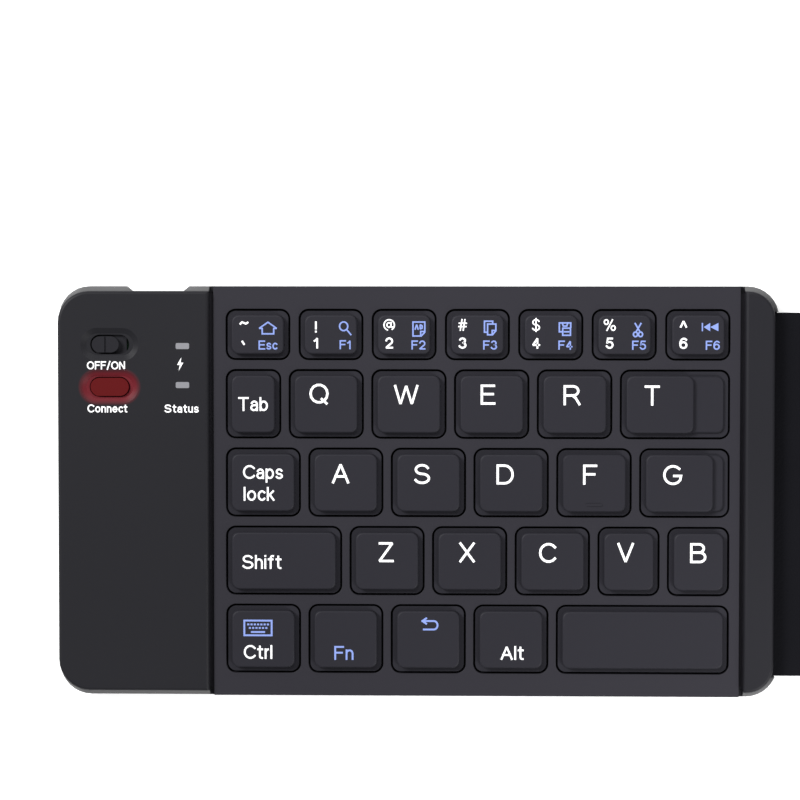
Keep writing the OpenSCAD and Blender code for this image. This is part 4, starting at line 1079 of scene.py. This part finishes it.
# Each word, its middle from the panel's left end and from the rear edge, and its length,
# in millimetres.
PANEL_WORDS = (("OFF/ON", 11.2, 18.2, 8.8), ("Connect", 11.5, 28.1, 9.2),
               ("Status", 28.6, 28.1, 7.85))
BOLT_PLACE = (28.3, 17.9)
BOLT_SIZE = (0.85 * MM, 1.55 * MM)
panel_low, panel_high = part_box("control_panel_cover")
panel = bmesh.new()


def on_panel(u, v):
    """A place on the panel, in millimetres from its left end and from the rear edge."""
    return Vector((panel_low.x + u * MM, cad_box[1].y - v * MM, panel_high.z + PRINT_LIFT))


for words, u, v, length in PANEL_WORDS:
    write(panel, words, on_panel(u, v), *PANEL_WORD, 0, length * MM)
filled(panel, [BOLT], on_panel(*BOLT_PLACE), *BOLT_SIZE, 0)
panel.normal_update()
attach(new_piece(panel, "panel_print", [WHITE_INK]), "left_half")
print("panel words:", len(PANEL_WORDS))

# %% [markdown]
# ## Studio
#
# A white table that is a little overexposed, a strong softbox from the rear left, and
# two small ones close by, at the front right and at the rear. The strong one draws the
# dark gap on the right of each cap. The camera looks almost straight down on the left
# half.

# %% Floor and room
TABLE_SIZE = 4
TABLE_WHITE = (0.9, 0.9, 0.9, 1)
TABLE_GLOW = 0.5
ROOM_LIGHT = 0.24

bpy.context.scene.view_settings.view_transform = "Standard"
bpy.ops.mesh.primitive_plane_add(size=TABLE_SIZE, location=(0, 0, 0))
floor = bpy.context.object
floor.name = "table_top"
table = Finish("table_white", Base_Color=TABLE_WHITE, Roughness=0.7, Specular_IOR_Level=0.2,
               Emission_Color=(1, 1, 1, 1), Emission_Strength=TABLE_GLOW)
floor.data.materials.append(table.material)

world = bpy.data.worlds.new("white_room")
world.use_nodes = True
room = world.node_tree.nodes["Background"]
room.inputs["Color"].default_value = (1.0, 1.0, 1.0, 1)
room.inputs["Strength"].default_value = ROOM_LIGHT
bpy.context.scene.world = world

# %% Lights and camera
# Places are in metres, tilts in degrees, and the lens and the sensor in millimetres.
LEFT_HALF_PLACE = Vector((-0.06, 0, 0))
CAMERA_PLACE = (-0.05957, 0.04492, 0.600)
CAMERA_TILT = (-2.297, 1.480, 0.032)
LENS = 116.49
SENSOR = 36


def softbox(name, place, size, power):
    """A square area light that faces the left half. Its size is in metres, its power in watts."""
    data = bpy.data.lights.new(name, "AREA")
    data.energy = power
    data.size = size
    lamp = bpy.data.objects.new(name, data)
    bpy.context.scene.collection.objects.link(lamp)
    lamp.visible_camera = False
    lamp.location = place
    lamp.rotation_euler = (LEFT_HALF_PLACE - Vector(place)).to_track_quat("-Z", "Y").to_euler()


softbox("key_softbox", (-1.5, 1.0, 1.5), size=0.8, power=71)
softbox("near_softbox", (0.16, -0.22, 0.22), size=0.2, power=1.3)
softbox("rear_softbox", (-0.04, 0.24, 0.20), size=0.2, power=0.5)

camera = bpy.data.objects.new("camera", bpy.data.cameras.new("camera"))
bpy.context.scene.collection.objects.link(camera)
camera.data.lens = LENS
camera.data.sensor_width = SENSOR
camera.location = CAMERA_PLACE
camera.rotation_euler = [math.radians(a) for a in CAMERA_TILT]
bpy.context.scene.camera = camera
print("lights:", len(bpy.data.lights), "camera lens in mm:", LENS)
